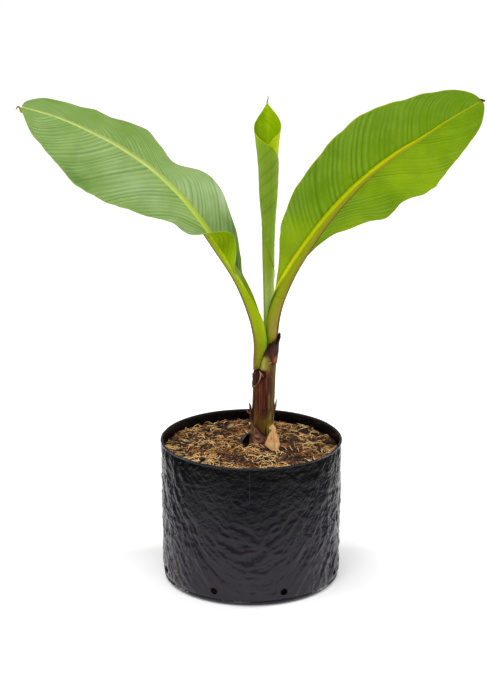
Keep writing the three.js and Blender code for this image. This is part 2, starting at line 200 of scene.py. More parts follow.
bpy.ops.object.select_all(action="DESELECT")
bpy.ops.mesh.primitive_plane_add(size=FLOOR_WIDTH, location=(0, 0, 0))
floor = bpy.context.object
floor.name = "floor"
paint = Finish("floor_paint", {
    "Specular IOR Level": 0.0, "Roughness": 1.0, "Emission Color": (1, 1, 1, 1)})
floor_spot = paint.place()
floor_axes = paint.node("SeparateXYZ", {"Vector": floor_spot}).outputs
floor_reach = paint.node("VectorMath", {0: floor_spot}, operation="LENGTH").outputs["Value"]
floor_side = paint.node("Math", {0: floor_axes["X"]}, operation="ABSOLUTE").outputs[0]
floor_sweep = paint.times(
    paint.spread(floor_axes["Y"], SWEEP_FRONT[1], SWEEP_FRONT[0]),
    paint.spread(floor_side, SWEEP_SIDES[1], SWEEP_SIDES[0]))
floor_mirrored = paint.node("LightPath", {}).outputs["Is Glossy Ray"]
floor_lit = paint.sum(floor_sweep, paint.spread(floor_mirrored, 0, 1, 1.0, 0.0), by="MAXIMUM")
paint.give(paint.shader.inputs["Emission Strength"], paint.times(
    paint.spread(floor_reach, *FLOOR_FADE, *FLOOR_GLOW), floor_lit))
floor_white = paint.blend(paint.noise(paint.place(), 3.0), (250, 250, 250), (252, 252, 252))
floor.data.materials.append(paint.wear(
    colour=paint.blend(floor_lit, (60, 60, 60), floor_white),
))

# ---- Planter bag ----
# A bag of black polythene film, welded to a round base, its rim turned over into a hem.
# Filled with mix it stands as a drum, its wall crinkled where the film was creased.
BAG_HEIGHT = 200
BAG_RIM = 125
BAG_FOOT = 122
BAG_CORNER = 7
BAG_FILM = 1.6  # thicker than real film, so that it makes a wall
BAG_COLUMNS, WALL_ROWS, INNER_ROWS = 512, 108, 16
HEM_HEIGHT = 3.0
HEM_LIP = 0.8  # how far the wall lies inside the hem
HEM_BULGE = 1.6
RIM_SWAY = (2.5, 1.1)  # how far the soft rim rises all round, and how much more in front
WELD_ANGLE = -1.2  # degrees from the front
WELD_AT = 0.00255  # the same, as metres to the left
SEAM_HEIGHT = 7.0  # of the groove where the base is welded on
DRAIN_ANGLES = (-75, -25, 21.5, 71, 108, 158, 205, 257)
DRAIN_HEIGHT = 18.5
DRAIN_RADIUS = 5.0
CREASE_BOW = 1.5  # how deep the creases hang, as a share of the foot's radius
CREASE_WANDER = 0.8
# The film's long creases: how far each kind runs, the gap between two, its depth, its seed.
CREASES = ((44, 10, 0.80, 5), (24, 6.0, 0.66, 8), (12, 3.4, 0.26, 14))
# Its hammered crumples, which are deepest at the sides: their size, depth and seed.
CRUMPLES = ((18, 1.0, 17), (9, 0.85, 19), (4.8, 0.42, 21))


def lumps(points, size, seed):
    """Smooth random values from -1 to 1, in lumps of about the given size."""
    spots = np.asarray(points, float) / size
    cells = np.floor(spots).astype(np.int64)
    inside = spots - cells
    inside = inside * inside * (3 - 2 * inside)
    factors = (374761393, 668265263, 1442695041)
    total = np.zeros(len(spots))
    for corner in itertools.product((0, 1), repeat=spots.shape[1]):
        code = np.full(len(spots), seed * 974711, np.int64)
        weight = np.ones(len(spots))
        for axis, step in enumerate(corner):
            code = code + (cells[:, axis] + step) * factors[axis]
            weight = weight * (inside[:, axis] if step else 1 - inside[:, axis])
        code = (code ^ (code >> 13)) * 1274126177 & 0x7FFFFFFF
        code = (code ^ (code >> 16)) * 69069 & 0x7FFFFFFF
        total += weight * ((code >> 7) % 65536) / 32768
    return total - 1


def smooth(value, low, high):
    """Rises gently from 0 to 1 between two limits."""
    share = np.clip((np.asarray(value, float) - low) / (high - low), 0, 1)
    return share * share * (3 - 2 * share)


def near(value, middle, width):
    """1 at the middle, falling away to 0 over about the given width."""
    return np.exp(-((value - middle) / width) ** 2)


def table(*columns):
    """Columns of numbers side by side, such as the x, y and z of many points."""
    return np.column_stack(columns)


def ring(radius, turn, *more, middle=(0, 0)):
    """Points round a middle at a radius and a turn, with more columns behind, such as z."""
    return table(middle[0] + radius * np.cos(turn), middle[1] + radius * np.sin(turn), *more)


def shape_grid(name, columns, rows, place):
    """A grid whose points go where place(u, v) says, u across and v along, both 0 to 1."""
    bpy.ops.object.select_all(action="DESELECT")
    bpy.ops.mesh.primitive_grid_add(
        x_subdivisions=columns, y_subdivisions=rows, size=1, calc_uvs=True)
    piece = bpy.context.object
    piece.name = name
    flat = np.empty(len(piece.data.vertices) * 3)
    piece.data.vertices.foreach_get("co", flat)
    flat = flat.reshape(-1, 3) + 0.5
    points = place(flat[:, 0], flat[:, 1])
    piece.data.vertices.foreach_set("co", (points * MM).ravel())
    piece.data.update()
    return piece


def mark_points(piece, name, values):
    """Lets the mesh carry a value from point to point, for its finish to read."""
    layer = piece.data.attributes.new(name, "FLOAT", "POINT")
    layer.data.foreach_set("value", np.asarray(values, float))


def paint_points(piece, name, colours):
    layer = piece.data.attributes.new(name, "FLOAT_COLOR", "POINT")
    layer.data.foreach_set("color", np.asarray(colours, float).ravel())


def pick(piece):
    """Makes a piece the only one that is worked on."""
    bpy.ops.object.select_all(action="DESELECT")
    piece.select_set(True)
    bpy.context.view_layer.objects.active = piece


def mend(piece, *steps):
    """Takes one step after the other over all the faces of a piece."""
    pick(piece)
    bpy.ops.object.mode_set(mode="EDIT")
    bpy.ops.mesh.select_all(action="SELECT")
    for step in steps:
        step()
    bpy.ops.object.mode_set(mode="OBJECT")
    return piece


def face_outwards():
    bpy.ops.mesh.normals_make_consistent(inside=False)


def close_up(piece, gap=0.02):
    """Merges the seam and the poles of a closed form and turns its faces outwards."""
    def merge():
        bpy.ops.mesh.remove_doubles(threshold=gap * MM)

    return mend(piece, merge, face_outwards)


def finish_piece(piece, material, slot, *nodes, angle=60):
    """Smooths a piece, gives it its finish, unless it has its own for each side, hangs it on the root
    body and hides the model's parts that it stands for. Its slot is not used."""
    pick(piece)
    bpy.ops.object.shade_smooth_by_angle(angle=np.radians(angle))
    if material:
        piece.data.materials.append(material)
    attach(piece, "root")
    if nodes:
        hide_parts(*nodes)


def bag_wall(height):
    """The wall's radius, which grows from the foot to the rim."""
    share = np.clip((height - BAG_CORNER) / (BAG_HEIGHT - BAG_CORNER), 0, 1)
    return BAG_FOOT + (BAG_RIM - BAG_FOOT) * share


def bag_outline():
    """The bag's section from the middle of its base, up its wall, over the hem and down inside."""
    corner = BAG_FOOT - BAG_CORNER
    line = [(radius, 0) for radius in np.linspace(0, corner, 7)]
    for turn in np.linspace(0, np.pi / 2, 7)[1:]:
        line.append((corner + BAG_CORNER * np.sin(turn), BAG_CORNER * (1 - np.cos(turn))))
    for height in np.linspace(BAG_CORNER, BAG_HEIGHT - HEM_HEIGHT - 0.6, WALL_ROWS)[1:]:
        line.append((bag_wall(height) - HEM_LIP, height))
    rim = BAG_RIM - HEM_LIP
    for turn in np.linspace(-np.pi / 2, np.pi / 2, 9):
        fall = HEM_HEIGHT / 2 * (1 - np.sin(turn))
        line.append((rim + HEM_BULGE * np.cos(turn), BAG_HEIGHT - fall))
    line.append((rim - BAG_FILM, BAG_HEIGHT - 0.7))
    for height in np.linspace(BAG_HEIGHT - HEM_HEIGHT, BAG_CORNER, INNER_ROWS):
        line.append((bag_wall(height) - HEM_LIP - BAG_FILM, height))
    inner = corner - HEM_LIP
    line += [(inner + 4, BAG_FILM + 2.2), (inner, BAG_FILM), (inner / 2, BAG_FILM), (0, BAG_FILM)]
    return np.array(line)


bag_line = bag_outline()


def bag_creases(side, front, height):
    """How far the creased film stands out from a smooth wall."""
    x, y = BAG_FOOT * side, BAG_FOOT * front
    solid = table(x, y, height)
    # The long creases hang in bows, low at the front and the back and steep at the sides.
    bow = height + CREASE_BOW * BAG_FOOT * np.abs(front) ** 1.5
    wander = CREASE_WANDER * lumps(solid, 30, 3)[:, None]
    push = np.zeros(len(height))
    for run, gap, depth, seed in CREASES:
        ridge = 1 - np.abs(lumps(table(x / run, y / run, bow / gap) + wander, 1, seed)) * 2
        push += depth * ridge * (0.55 + 0.45 * lumps(solid, 34, seed + 1))
    # The film lies calmest high up at the front.
    calm = 1.5 - 1.3 * smooth(-front, 0.45, 0.90) * smooth(height, 90, 160)
    push *= calm
    for size, depth, seed in CRUMPLES:
        ridge = 1 - 2 * np.abs(lumps(solid + 5 * wander, size, seed))
        push += depth * ridge * (0.10 * calm + 0.78 * smooth(np.abs(side), 0.50, 0.85))
    push += 0.8 * lumps(solid, 45, 11)
    taut = 0.4 * smooth(height, 110, 180) + 0.45 * smooth(height, 188, 197)
    push *= smooth(height, 7, 16) * (1 - taut)
    return push + 0.35 * lumps(table(x, y, 0 * x), 16, 23) * smooth(height, 180, 199)


def bag_place(u, v):
    turn = 2 * np.pi * u
    steps = v * (len(bag_line) - 1)
    radius, height = (np.interp(steps, np.arange(len(bag_line)), column) for column in bag_line.T)
    side, front = np.sin(turn), -np.cos(turn)
    push = bag_creases(side, front, height)
    # The seam where the base is welded on shows as a groove, the wall's weld as a low ridge.
    push = push - 1.5 * near(height, SEAM_HEIGHT, 1.0)
    weld = near(np.degrees(turn + np.pi) % 360 - 180, WELD_ANGLE, 0.5) * (front < 0)
    push = push + 0.7 * weld * (height < BAG_HEIGHT - 4)
    # The inside follows the outside at half its depth, and the base stays flat.
    outside = steps < len(bag_line) - INNER_ROWS - 5
    radius = radius + np.where(radius > BAG_FOOT / 2, np.where(outside, push, 0.5 * push), 0)
    height = height + (RIM_SWAY[0] - RIM_SWAY[1] * front) * smooth(height, 150, BAG_HEIGHT)
    return table(radius * side, radius * front, height)


bag = close_up(shape_grid("planter_bag_film", BAG_COLUMNS, len(bag_line) - 1, bag_place))
bpy.ops.object.select_all(action="DESELECT")
punches = []
for angle in DRAIN_ANGLES:
    turn = np.radians(angle)
    spot = np.array([np.sin(turn) * BAG_FOOT, -np.cos(turn) * BAG_FOOT, DRAIN_HEIGHT]) * MM
    bpy.ops.mesh.primitive_cylinder_add(
        vertices=24, radius=DRAIN_RADIUS * MM, depth=20 * MM, location=spot,
        rotation=(np.pi / 2, 0, turn))
    punches.append(bpy.context.object)
for punch in punches:
    punch.select_set(True)
bpy.ops.object.join()
punch = bpy.context.object
bpy.context.view_layer.objects.active = bag
drill = bag.modifiers.new("drains", "BOOLEAN")
drill.object = punch
drill.operation = "DIFFERENCE"
drill.solver = "EXACT"
bpy.ops.object.modifier_apply(modifier=drill.name)
bpy.data.objects.remove(punch)

film = Finish("black_polythene", {"Specular IOR Level": 0.26})
film_spot = film.place()
film_axes = film.node("SeparateXYZ", {"Vector": film_spot}).outputs
film_height = film_axes["Z"]
# The rim sways up towards the front, so the level of its hem falls towards the back. The hem's
# painted highlight follows that level.
film_level = film.sum(film_height, film.times(film_axes["Y"], 0.009))
film_cloud = film.noise(film_spot, 22.0, 4.0)
film_dust = film.times(
    film.spread(film.spots(film_spot, 420.0), 0.10, 0.05),
    film.spread(film.noise(film_spot, 90.0, 2.0), 0.60, 0.66))
film_aside = film.sum(film_axes["X"], WELD_AT)
film_beside = film.node("Math", {0: film_aside}, operation="ABSOLUTE").outputs[0]
film_weld = film.times(
    film.spread(film_beside, 0.0009, 0.0002, 0.0, 0.3), film.spread(film_axes["Y"], -0.10, -0.11),
    film.spread(film_cloud, 0.44, 0.62), film.spread(film_height, 0.02, 0.06))
film_leather = film.noise(film_spot, 260.0, 3.0, 0.6)
film_hammer = film.noise(film_spot, 95.0, 2.0, 0.5)
film_black = film.wear(
    colour=film.over(
        film.blend(film_cloud, (5, 5, 6), (11, 10, 13)),
        # Painted reflection: the film is painted lighter towards the foot, where it mirrors the
        # bright floor.
        (film.spread(film_height, 0.19, 0.02), (38, 34, 43)),
        # Painted highlight: a lighter band along the rolled hem, where it catches the top light.
        (film.spread(film_level, 0.1992, 0.1998), (36, 35, 39)),
        (film_weld, (72, 70, 76)),
        (film_dust, (95, 92, 90))),
    roughness=film.spread(film_cloud, 0.3, 0.7, 0.14, 0.24),
    normal=film.relief(film_leather, 0.0004, film.relief(film_hammer, 0.0016)),
)
finish_piece(bag, film_black, "bag_film", "planter_bag", angle=50)

# ---- Potting mix ----
# Damp coir and bark compost, mounded a little round the stem. Its body is one crumbly
# mass, and on it lie loose coir fibres and chips of bark, strewn as they fell.
MIX_EDGE = 186
MIX_RADIUS = 122.2
MIX_MOUND = 4.5
STEM_FOOT = (14.5, 14)
# Its section, from the middle of the top out to the wall, down it and back under: how far along
# its grid each corner lies, the radius there and, for those below the top, the height.
MIX_SHARES = (0, 0.88, 0.90, 0.94, 1)
MIX_RADII = (0, MIX_RADIUS - 0.6, 116, 114, 0)
MIX_HEIGHTS = (180, 170, 12, 9)
# Hollows where dead sheaths have shrunk away: the middle of each, its radius and depth.
HOLLOWS = ((-5, 5, 7.5, 9), (24.5, -13, 8.5, 9))
CRUMBS = ((2.2, 6.5, 41), (1.2, 2.8, 43), (0.5, 1.3, 47))  # height, size and seed
STEM_CLEAR, HOLLOW_CLEAR = 19, 5  # how far what is strewn keeps from the stem and the hollows
FIBRE_JOINTS, FIBRE_SIDES = 6, 3
# Fibres: how many, the seed, their length, radius and height over the mix, the share of them
# that is left out at the back, and their colour.
FIBRES = (
    ("coir_straw", 620, 68, (8, 21), (0.28, 0.54), (1.2, 3.6), 0.35, (255, 216, 146)),
    ("coir_gold", 900, 62, (8, 20), (0.22, 0.44), (0.7, 2.8), 0.25, (210, 149, 78)),
    ("coir_tan", 1000, 63, (5, 17), (0.22, 0.46), (0.3, 2.0), 0.1, (130, 83, 48)),
    ("coir_brown", 3000, 64, (4, 14), (0.28, 0.6), (0.2, 1.7), 0.05, (64, 41, 26)),
    ("coir_dark", 2600, 65, (3, 10), (0.3, 0.7), (0.2, 2.0), 0.05, (26, 18, 14)),
)
# Crumbs and chips: how many, the seed, their size and their colour.
CHIPS = (
    ("crumb_brown", 3600, 75, (1.6, 4.2), (106, 69, 45)),
    ("crumb_pale", 520, 76, (1.2, 3.2), (224, 174, 122)),
    ("bark_red", 620, 71, (3, 9), (118, 74, 52)),
    ("bark_dark", 1700, 72, (3, 9), (40, 26, 20)),
    ("husk_tan", 900, 73, (2, 6.5), (150, 98, 61)),
    ("husk_pale", 110, 74, (2, 5.5), (230, 200, 172)),
)


def mix_level(x, y):
    """How high the mix lies at a spot, before its crumbs."""
    from_stem = np.hypot(x - STEM_FOOT[0], y - STEM_FOOT[1])
    level = MIX_EDGE + MIX_MOUND * near(from_stem, 0, 60)
    level = level + 1.8 * lumps(table(x, y), 26, 31) * smooth(from_stem, 18, 50)
    for hollow_x, hollow_y, radius, depth in HOLLOWS:
        gap = np.hypot(x - hollow_x, y - hollow_y)
        level = level - depth * (1 - smooth(gap, 0.3 * radius, radius))
    return level - 1.5 * smooth(np.hypot(x, y), 100, 122)


def mix_place(u, v):
    spot = ring(np.interp(v, MIX_SHARES, MIX_RADII), 2 * np.pi * u)
    top = mix_level(*spot.T)
    for height, size, seed in CRUMBS:
        top = top + height * lumps(spot, size, seed)
    below = np.interp(v, MIX_SHARES[1:], MIX_HEIGHTS)
    return table(spot, np.where(v <= MIX_SHARES[1], top, below))


mix = close_up(shape_grid("potting_mix_body", 400, 150, mix_place))
compost = Finish("compost", {"Specular IOR Level": 0.25})
compost_spot = compost.place()
compost_grit = compost.noise(compost_spot, 420.0, 4.0, 0.7)
compost_patch = compost.noise(compost_spot, 60.0, 3.0)
compost_damp = compost.wear(
    colour=compost.over(
        compost.blend(compost_patch, (16, 11, 8), (50, 34, 24)),
        (compost.spread(compost_grit, 0.50, 0.74), (118, 84, 54))),
    roughness=compost.spread(compost_grit, 0.3, 0.7, 0.95, 0.75),
    normal=compost.relief(compost_grit, 0.0012),
)
finish_piece(mix, compost_damp, "potting_mix", "potting_mix", angle=80)


def scatter(count, seed, thinned):
    """Spots on the mix in patches, clear of the stem and the hollows, thinned at the back."""
    dice = np.random.default_rng(seed)
    found = np.zeros((0, 2))
    while len(found) < count:
        turn = dice.uniform(0, 2 * np.pi, count)
        radius = (MIX_RADIUS - 3) * np.sqrt(dice.uniform(0, 1, count))
        spot = ring(radius, turn)
        x, y = spot.T
        clear = np.hypot(x - STEM_FOOT[0], y - STEM_FOOT[1]) > STEM_CLEAR
        for hollow_x, hollow_y, hollow_radius, _ in HOLLOWS:
            clear &= np.hypot(x - hollow_x, y - hollow_y) > hollow_radius + HOLLOW_CLEAR
        keep = dice.uniform(0, 1, count) < np.where(y < 0, 1, 1 - thinned)
        patchy = dice.uniform(-1, 1, count) * 0.5 < lumps(spot, 19, seed + 5) + 0.05
        found = np.vstack([found, spot[clear & keep & patchy]])
    return found[:count], dice


def inside_wall(x, y, gap):
    """What to draw a spot in by, so that it keeps that gap to the wall."""
    return np.minimum(1, (MIX_RADIUS - gap) / np.maximum(np.hypot(x, y), 1))


def many(name, shapes, faces):
    """One piece of many small shapes that all have the same faces."""
    first = np.arange(len(shapes)) * shapes.shape[1]
    whole = first[:, None, None] + np.array(faces)[None]
    mesh = bpy.data.meshes.new(name)
    mesh.from_pydata((shapes.reshape(-1, 3) * MM).tolist(), [], whole.reshape(-1, 3).tolist())
    mesh.validate()
    piece = bpy.data.objects.new(name, mesh)
    bpy.context.collection.objects.link(piece)
    return piece


def plain_finish(name, colour):
    """A finish for small loose things: a plain colour, with grain in gloss and relief alone."""
    plain = Finish(name, {"Base Color": linear(*colour), "Specular IOR Level": 0.3})
    grain = plain.noise(plain.place(), 900.0, 2.0)
    return plain.wear(
        roughness=plain.spread(grain, 0.3, 0.7, 0.7, 0.9),
        normal=plain.relief(grain, 0.0002),
    )


def strew_fibres(name, count, seed, length, radius, lift, thinned, colour):
    """Curly fibres, each bent its own way."""
    spot, dice = scatter(count, seed, thinned)
    column = (count, 1)
    heading = dice.uniform(0, 2 * np.pi, column)
    curl = dice.normal(0, 0.55, column)
    snake = dice.uniform(-0.5, 0.5, column)
    long = dice.uniform(*length, column)
    thick = dice.uniform(*radius, column)
    rise = dice.uniform(*lift, column)
    tilt = dice.normal(0, 0.16, column)
    hump = dice.uniform(-0.6, 2.4, column)
    share = np.linspace(-0.5, 0.5, FIBRE_JOINTS)
    bend = heading + curl * share * 1.6 + snake * np.sin(share * 7)
    step = long / (FIBRE_JOINTS - 1)
    x = np.cumsum(np.cos(bend) * step, 1)
    y = np.cumsum(np.sin(bend) * step, 1)
    x += spot[:, :1] - x.mean(1)[:, None]
    y += spot[:, 1:] - y.mean(1)[:, None]
    pull = inside_wall(x, y, 1.5)
    x, y = x * pull, y * pull
    z = mix_level(x.ravel(), y.ravel()).reshape(x.shape) + rise
    z = z + tilt * share * long + hump * (1 - (2 * share) ** 2)
    sideways = np.stack([-np.sin(bend), np.cos(bend), 0 * bend], 2)
    centre = np.stack([x, y, z], 2)
    slim = thick * (1 - 0.75 * np.abs(2 * share) ** 3)
    edges = []
    for corner in range(FIBRE_SIDES):
        angle = 2 * np.pi * corner / FIBRE_SIDES + np.pi / 2
        offset = sideways * np.cos(angle) * 1.25 + np.array([0, 0, 0.75]) * np.sin(angle)
        edges.append(centre + offset * slim[..., None])
    shapes = np.stack(edges, 2).reshape(count, FIBRE_JOINTS * FIBRE_SIDES, 3)
    faces = []
    last = (FIBRE_JOINTS - 1) * FIBRE_SIDES
    for first in range(0, last, FIBRE_SIDES):
        for corner in range(FIBRE_SIDES):
            low, beside = first + corner, first + (corner + 1) % FIBRE_SIDES
            high = low + FIBRE_SIDES
            faces += [(low, beside, beside + FIBRE_SIDES), (low, beside + FIBRE_SIDES, high)]
    faces += [(2, 1, 0), (last, last + 1, last + 2)]
    finish_piece(many(name, shapes, faces), plain_finish(name, colour), "potting_mix")


def strew_chips(name, count, seed, size, colour):
    """Flat, angular chips of bark and husk, each a squashed and twisted lump."""
    spot, dice = scatter(count, seed, 0.1)
    belt = ring(1, np.radians(range(0, 360, 60)), np.zeros(6))
    crown = ring(0.5, np.radians(range(30, 390, 120)), np.ones(3))
    base = np.vstack([belt, crown, crown * (1, 1, -1)])
    faces = []
    for third in range(3):
        before, middle, after = 2 * third, 2 * third + 1, (2 * third + 2) % 6
        top, next_top = 6 + third, 6 + (third + 1) % 3
        low, next_low = top + 3, next_top + 3
        faces += [(before, middle, top), (middle, after, next_top), (middle, next_top, top)]
        faces += [(middle, before, low), (after, middle, next_low), (middle, low, next_low)]
    faces += [(6, 7, 8), (11, 10, 9)]
    wide = dice.uniform(*size, count)
    shape = base[None] * (1 + dice.normal(0, 0.22, (count, 12, 3)))
    flat = dice.uniform(0.35, 0.9, count), dice.uniform(0.14, 0.4, count)
    shape = shape * table(np.ones(count), *flat)[:, None] * wide[:, None, None] / 2
    turn = dice.uniform(0, 2 * np.pi, count)[:, None]
    lean = dice.normal(0, 0.35, (count, 2))
    z = shape[..., 2] + shape[..., 0] * lean[:, :1] + shape[..., 1] * lean[:, 1:]
    x = shape[..., 0] * np.cos(turn) - shape[..., 1] * np.sin(turn)
    y = shape[..., 0] * np.sin(turn) + shape[..., 1] * np.cos(turn)
    ground = mix_level(*spot.T) + dice.uniform(0.4, 1.8, count)
    shapes = np.stack([x + spot[:, :1], y + spot[:, 1:], z + ground[:, None]], 2)
    shapes[..., :2] *= inside_wall(shapes[..., 0], shapes[..., 1], 1)[..., None]
    piece = mend(many(name, shapes, faces), face_outwards)
    finish_piece(piece, plain_finish(name, colour), "potting_mix", angle=20)


for kind in FIBRES:
    strew_fibres(*kind)
for kind in CHIPS:
    strew_chips(*kind)

# ---- Pseudostem ----
# The trunk of a banana is no wood but a roll of leaf sheaths. The outer one is old, streaked
# maroon and olive, and ends above in a slanting, dried margin, torn where the leaves part.
STEM_AXIS = (
    (14.5, 14, 188), (16, 14, 220), (17, 14, 255), (18, 14, 290), (20, 14, 320), (23, 14, 356))
STEM_RADII = (17.2, 15.8, 15.4, 15.3, 15.3, 15.3)
STEM_ROOT = 186
# The sheath's edge and its inside: how far along its grid each corner lies, and how far in and
# down from the margin it goes.
STEM_SHARES = (0.94, 0.955, 0.975, 1)
STEM_INWARD = (0, 1.4, 3.0, 15.3)
STEM_DROP = (0, 0.1, 3.0, 4.0)
# Its slanting upper margin: how high it reaches at some angles round the stem, from +X.
MARGIN_ANGLES = (0, 60, 120, 180, 225, 240, 250, 259, 277, 300, 360)
MARGIN_HEIGHTS = (345, 334, 312, 296, 299, 305, 318, 327, 335, 341, 345)
OVERLAP_ANGLE = -64  # where one sheath's edge lies over the next, in degrees from +X


def along(line, share):
    """Places on the smooth curve through a row of points, or values through a row of values."""
    knots = np.asarray(line, float)
    single = knots.ndim == 1
    knots = knots[:, None] if single else knots
    last = len(knots) - 1
    spot = np.clip(np.asarray(share, float), 0, 1) * last
    index = np.minimum(spot.astype(int), last - 1)
    part = (spot - index)[:, None]
    reach = np.vstack([2 * knots[0] - knots[1], knots, 2 * knots[-1] - knots[-2]])
    before, start, end, after = (reach[index + step] for step in range(4))
    leave, arrive = (end - before) / 2, (after - start) / 2
    curve = start + leave * part + (3 * (end - start) - 2 * leave - arrive) * part ** 2
    curve = curve + (2 * (start - end) + leave + arrive) * part ** 3
    return curve[:, 0] if single else curve


stem_table = along(STEM_AXIS, np.linspace(0, 1, 400))
stem_width = along(STEM_RADII, np.linspace(0, 1, 400))


def stem_centre(height):
    """Where the stem's axis stands at a height, as x and y."""
    return [np.interp(height, stem_table[:, 2], stem_table[:, axis]) for axis in (0, 1)]


def stem_radius(height):
    """The stem's radius at a height, without its streaks."""
    return np.interp(height, stem_table[:, 2], stem_width)


def stem_margin(angle):
    """How high the outer sheath reaches on each side of the stem."""
    turn = np.degrees(angle) % 360
    return np.interp(turn, MARGIN_ANGLES, MARGIN_HEIGHTS) + 0.8 * lumps(ring(15, angle), 4, 81)


def on_stem(angle, height, lift):
    """Points at a height on the stem, lifted off its skin."""
    return ring(stem_radius(height) + lift, angle, height, middle=stem_centre(height))


def stem_place(u, v):
    angle = 2 * np.pi * u
    rise = np.clip(v / STEM_SHARES[0], 0, 1)
    height = STEM_ROOT + (stem_margin(angle) - STEM_ROOT) * rise
    degrees = (np.degrees(angle) + 180) % 360 - 180
    streaks = ring(15.5, angle, height / 22)
    lift = 0.30 * lumps(streaks, 1.5, 83) + 0.22 * lumps(streaks, 0.75, 85)
    lift = lift + 0.35 * lumps(ring(15.5, angle, height), 14, 87)
    lap = np.interp(degrees, (-180, OVERLAP_ANGLE - 1.5, OVERLAP_ANGLE + 1.5, 0), (0, 0.5, -0.35, 0))
    lift = lift + lap * smooth(height, 200, 230)
    # The margin turns in over the edge, and the inside falls to a hollow round the stalks.
    outer = lift * (v < STEM_SHARES[1])
    points = on_stem(angle, height, outer - np.interp(v, STEM_SHARES, STEM_INWARD))
    points[:, 2] -= np.interp(v, STEM_SHARES, STEM_DROP)
    return points


stem = close_up(shape_grid("pseudostem_sheath", 168, 240, stem_place), gap=0.004)


def painted(points, ground, *layers):
    """Colours for every point: a ground, then layers of (share, colour) laid over it."""
    colour = np.tile(np.array(linear(*ground)), (len(points), 1))
    for share, over in layers:
        share = np.clip(share, 0, 1)[:, None]
        colour = colour * (1 - share) + np.array(linear(*over)) * share
    return colour


def piece_points(piece):
    """Where the points of a piece lie, in millimetres."""
    flat = np.empty(len(piece.data.vertices) * 3)
    piece.data.vertices.foreach_get("co", flat)
    return flat.reshape(-1, 3) / MM


def turn_round(points, middle):
    """The turn of each point round a middle, in degrees from +X."""
    return np.degrees(np.arctan2(points[:, 1] - middle[1], points[:, 0] - middle[0]))


points = piece_points(stem)
height = points[:, 2]
angle = turn_round(points, stem_centre(height))
streak = lumps(points / (1, 1, 16), 1.6, 91)
blotch = lumps(points, 9, 93)
below_margin = stem_margin(np.radians(angle)) - height
# The pale window of the younger sheath, which shows under the torn margin.
window = smooth(height, 300, 304) * smooth(-height, -325, -317) * smooth(below_margin, 2.4, 4.2)
window_middle = smooth(height, 302, 307) * smooth(-height, -322, -314)
paint_points(stem, "tint", painted(
    points, (90, 58, 28),
    (smooth(angle, -80, -45) * smooth(-angle, -50, 10) * 0.9, (98, 74, 36)),
    (smooth(-np.abs(angle + 22), -22, -8) * 0.4 * (streak > -0.2), (122, 98, 54)),
    (near(angle, -96, 31) * smooth(height, 214, 242) * 0.95, (98, 34, 34)),
    (near(angle, -132, 22) * smooth(height, 205, 235) * 0.8, (106, 56, 16)),
    # Painted shade: the stem's left and right sides are darkened, the left one more.
    (near(angle, -172, 26) * 0.85, (40, 20, 12)),
    (near(angle, 4, 22) * 0.6, (62, 42, 26)),
    (near(angle, -52, 38) * (1 - smooth(height, 214, 250)) * 0.95, (166, 146, 40)),
    (near(angle, -104, 26) * (1 - smooth(height, 212, 240)) * 0.75, (136, 110, 34)),
    (smooth(streak, 0.05, 0.6) * 0.7, (36, 14, 10)),
    (smooth(-streak, 0.10, 0.6) * (0.5 - 0.4 * near(angle, -96, 26)), (168, 130, 72)),
    (smooth(blotch, 0.2, 0.8) * 0.45, (46, 24, 14)),
    (near(angle, 160, 30) * 0.6 + near(angle, 90, 50) * 0.5, (66, 42, 22)),
    (smooth(height, 318, 324) * 0.8, (62, 38, 28)),
    (near(angle, -95, 22) * window, (170, 164, 66)),
    (near(angle, -101, 8) * window_middle * 0.6, (196, 194, 100)),
    (smooth(-below_margin, -3.2, -1.4), (40, 22, 14)),
    (1 - smooth(height, 186, 194), (40, 26, 18)),
))

sheath = Finish("old_sheath", {"Specular IOR Level": 0.08})
sheath_grain = sheath.noise(sheath.place((1, 1, 0.07)), 1500.0, 3.0, 0.6)
sheath_specks = sheath.spread(sheath.spots(sheath.place((1, 1, 0.6)), 900.0), 0.20, 0.08)
sheath_few = sheath.spread(sheath.noise(sheath.place(), 330.0), 0.51, 0.58)
sheath_skin = sheath.wear(
    colour=sheath.over(
        sheath.mark("tint")["Color"],
        (sheath.spread(sheath_grain, 0.35, 0.7, 0.0, 0.45), (38, 20, 14)),
        (sheath.times(sheath_specks, sheath_few), (178, 150, 132))),
    roughness=sheath.spread(sheath_grain, 0.3, 0.7, 0.42, 0.62),
    normal=sheath.relief(sheath_grain, 0.0004),
)
finish_piece(stem, sheath_skin, "stem_sheath", "pseudostem")

# ---- Old sheaths and scraps on the stem ----
# What is left of earlier leaves: a scale at the foot, a dried collar under the fork, torn
# and curled scraps, and two frayed spikes. All are thin and brittle, and cling to the stem.


def thicken(piece, thickness, both_sides=()):
    """Gives a sheet its thickness, and its front and back their own finish where they differ."""
    pick(piece)
    for material in both_sides:
        piece.data.materials.append(material)
    wall = piece.modifiers.new("wall", "SOLIDIFY")
    wall.thickness = thickness * MM
    wall.offset = 0
    wall.use_quality_normals = True
    if both_sides:
        wall.material_offset = 1
    bpy.ops.object.modifier_apply(modifier=wall.name)


def scrap_finish(name, roughness, depth=0.0005, darkened=0.5):
    """The finish of dry sheath: its mesh's own tint, with fibres running up it."""
    dry = Finish(name, {"Specular IOR Level": 0.12})
    fibre = dry.noise(dry.place((1, 1, 0.15)), 1300.0, 3.0, 0.65)
    dark = dry.spread(fibre, 0.35, 0.75, 0.0, darkened)
    return dry.wear(
        colour=dry.blend(dark, dry.mark("tint")["Color"], (34, 20, 15)),
        roughness=dry.spread(fibre, 0.3, 0.7, roughness - 0.1, roughness + 0.1),
        normal=dry.relief(fibre, depth),
    )


def grid_shares(columns, rows):
    """The u and v of each point of a grid of that many cells, in the grid's own order."""
    u, v = np.meshgrid(np.linspace(0, 1, columns + 1), np.linspace(0, 1, rows + 1))
    return u.ravel(), v.ravel()


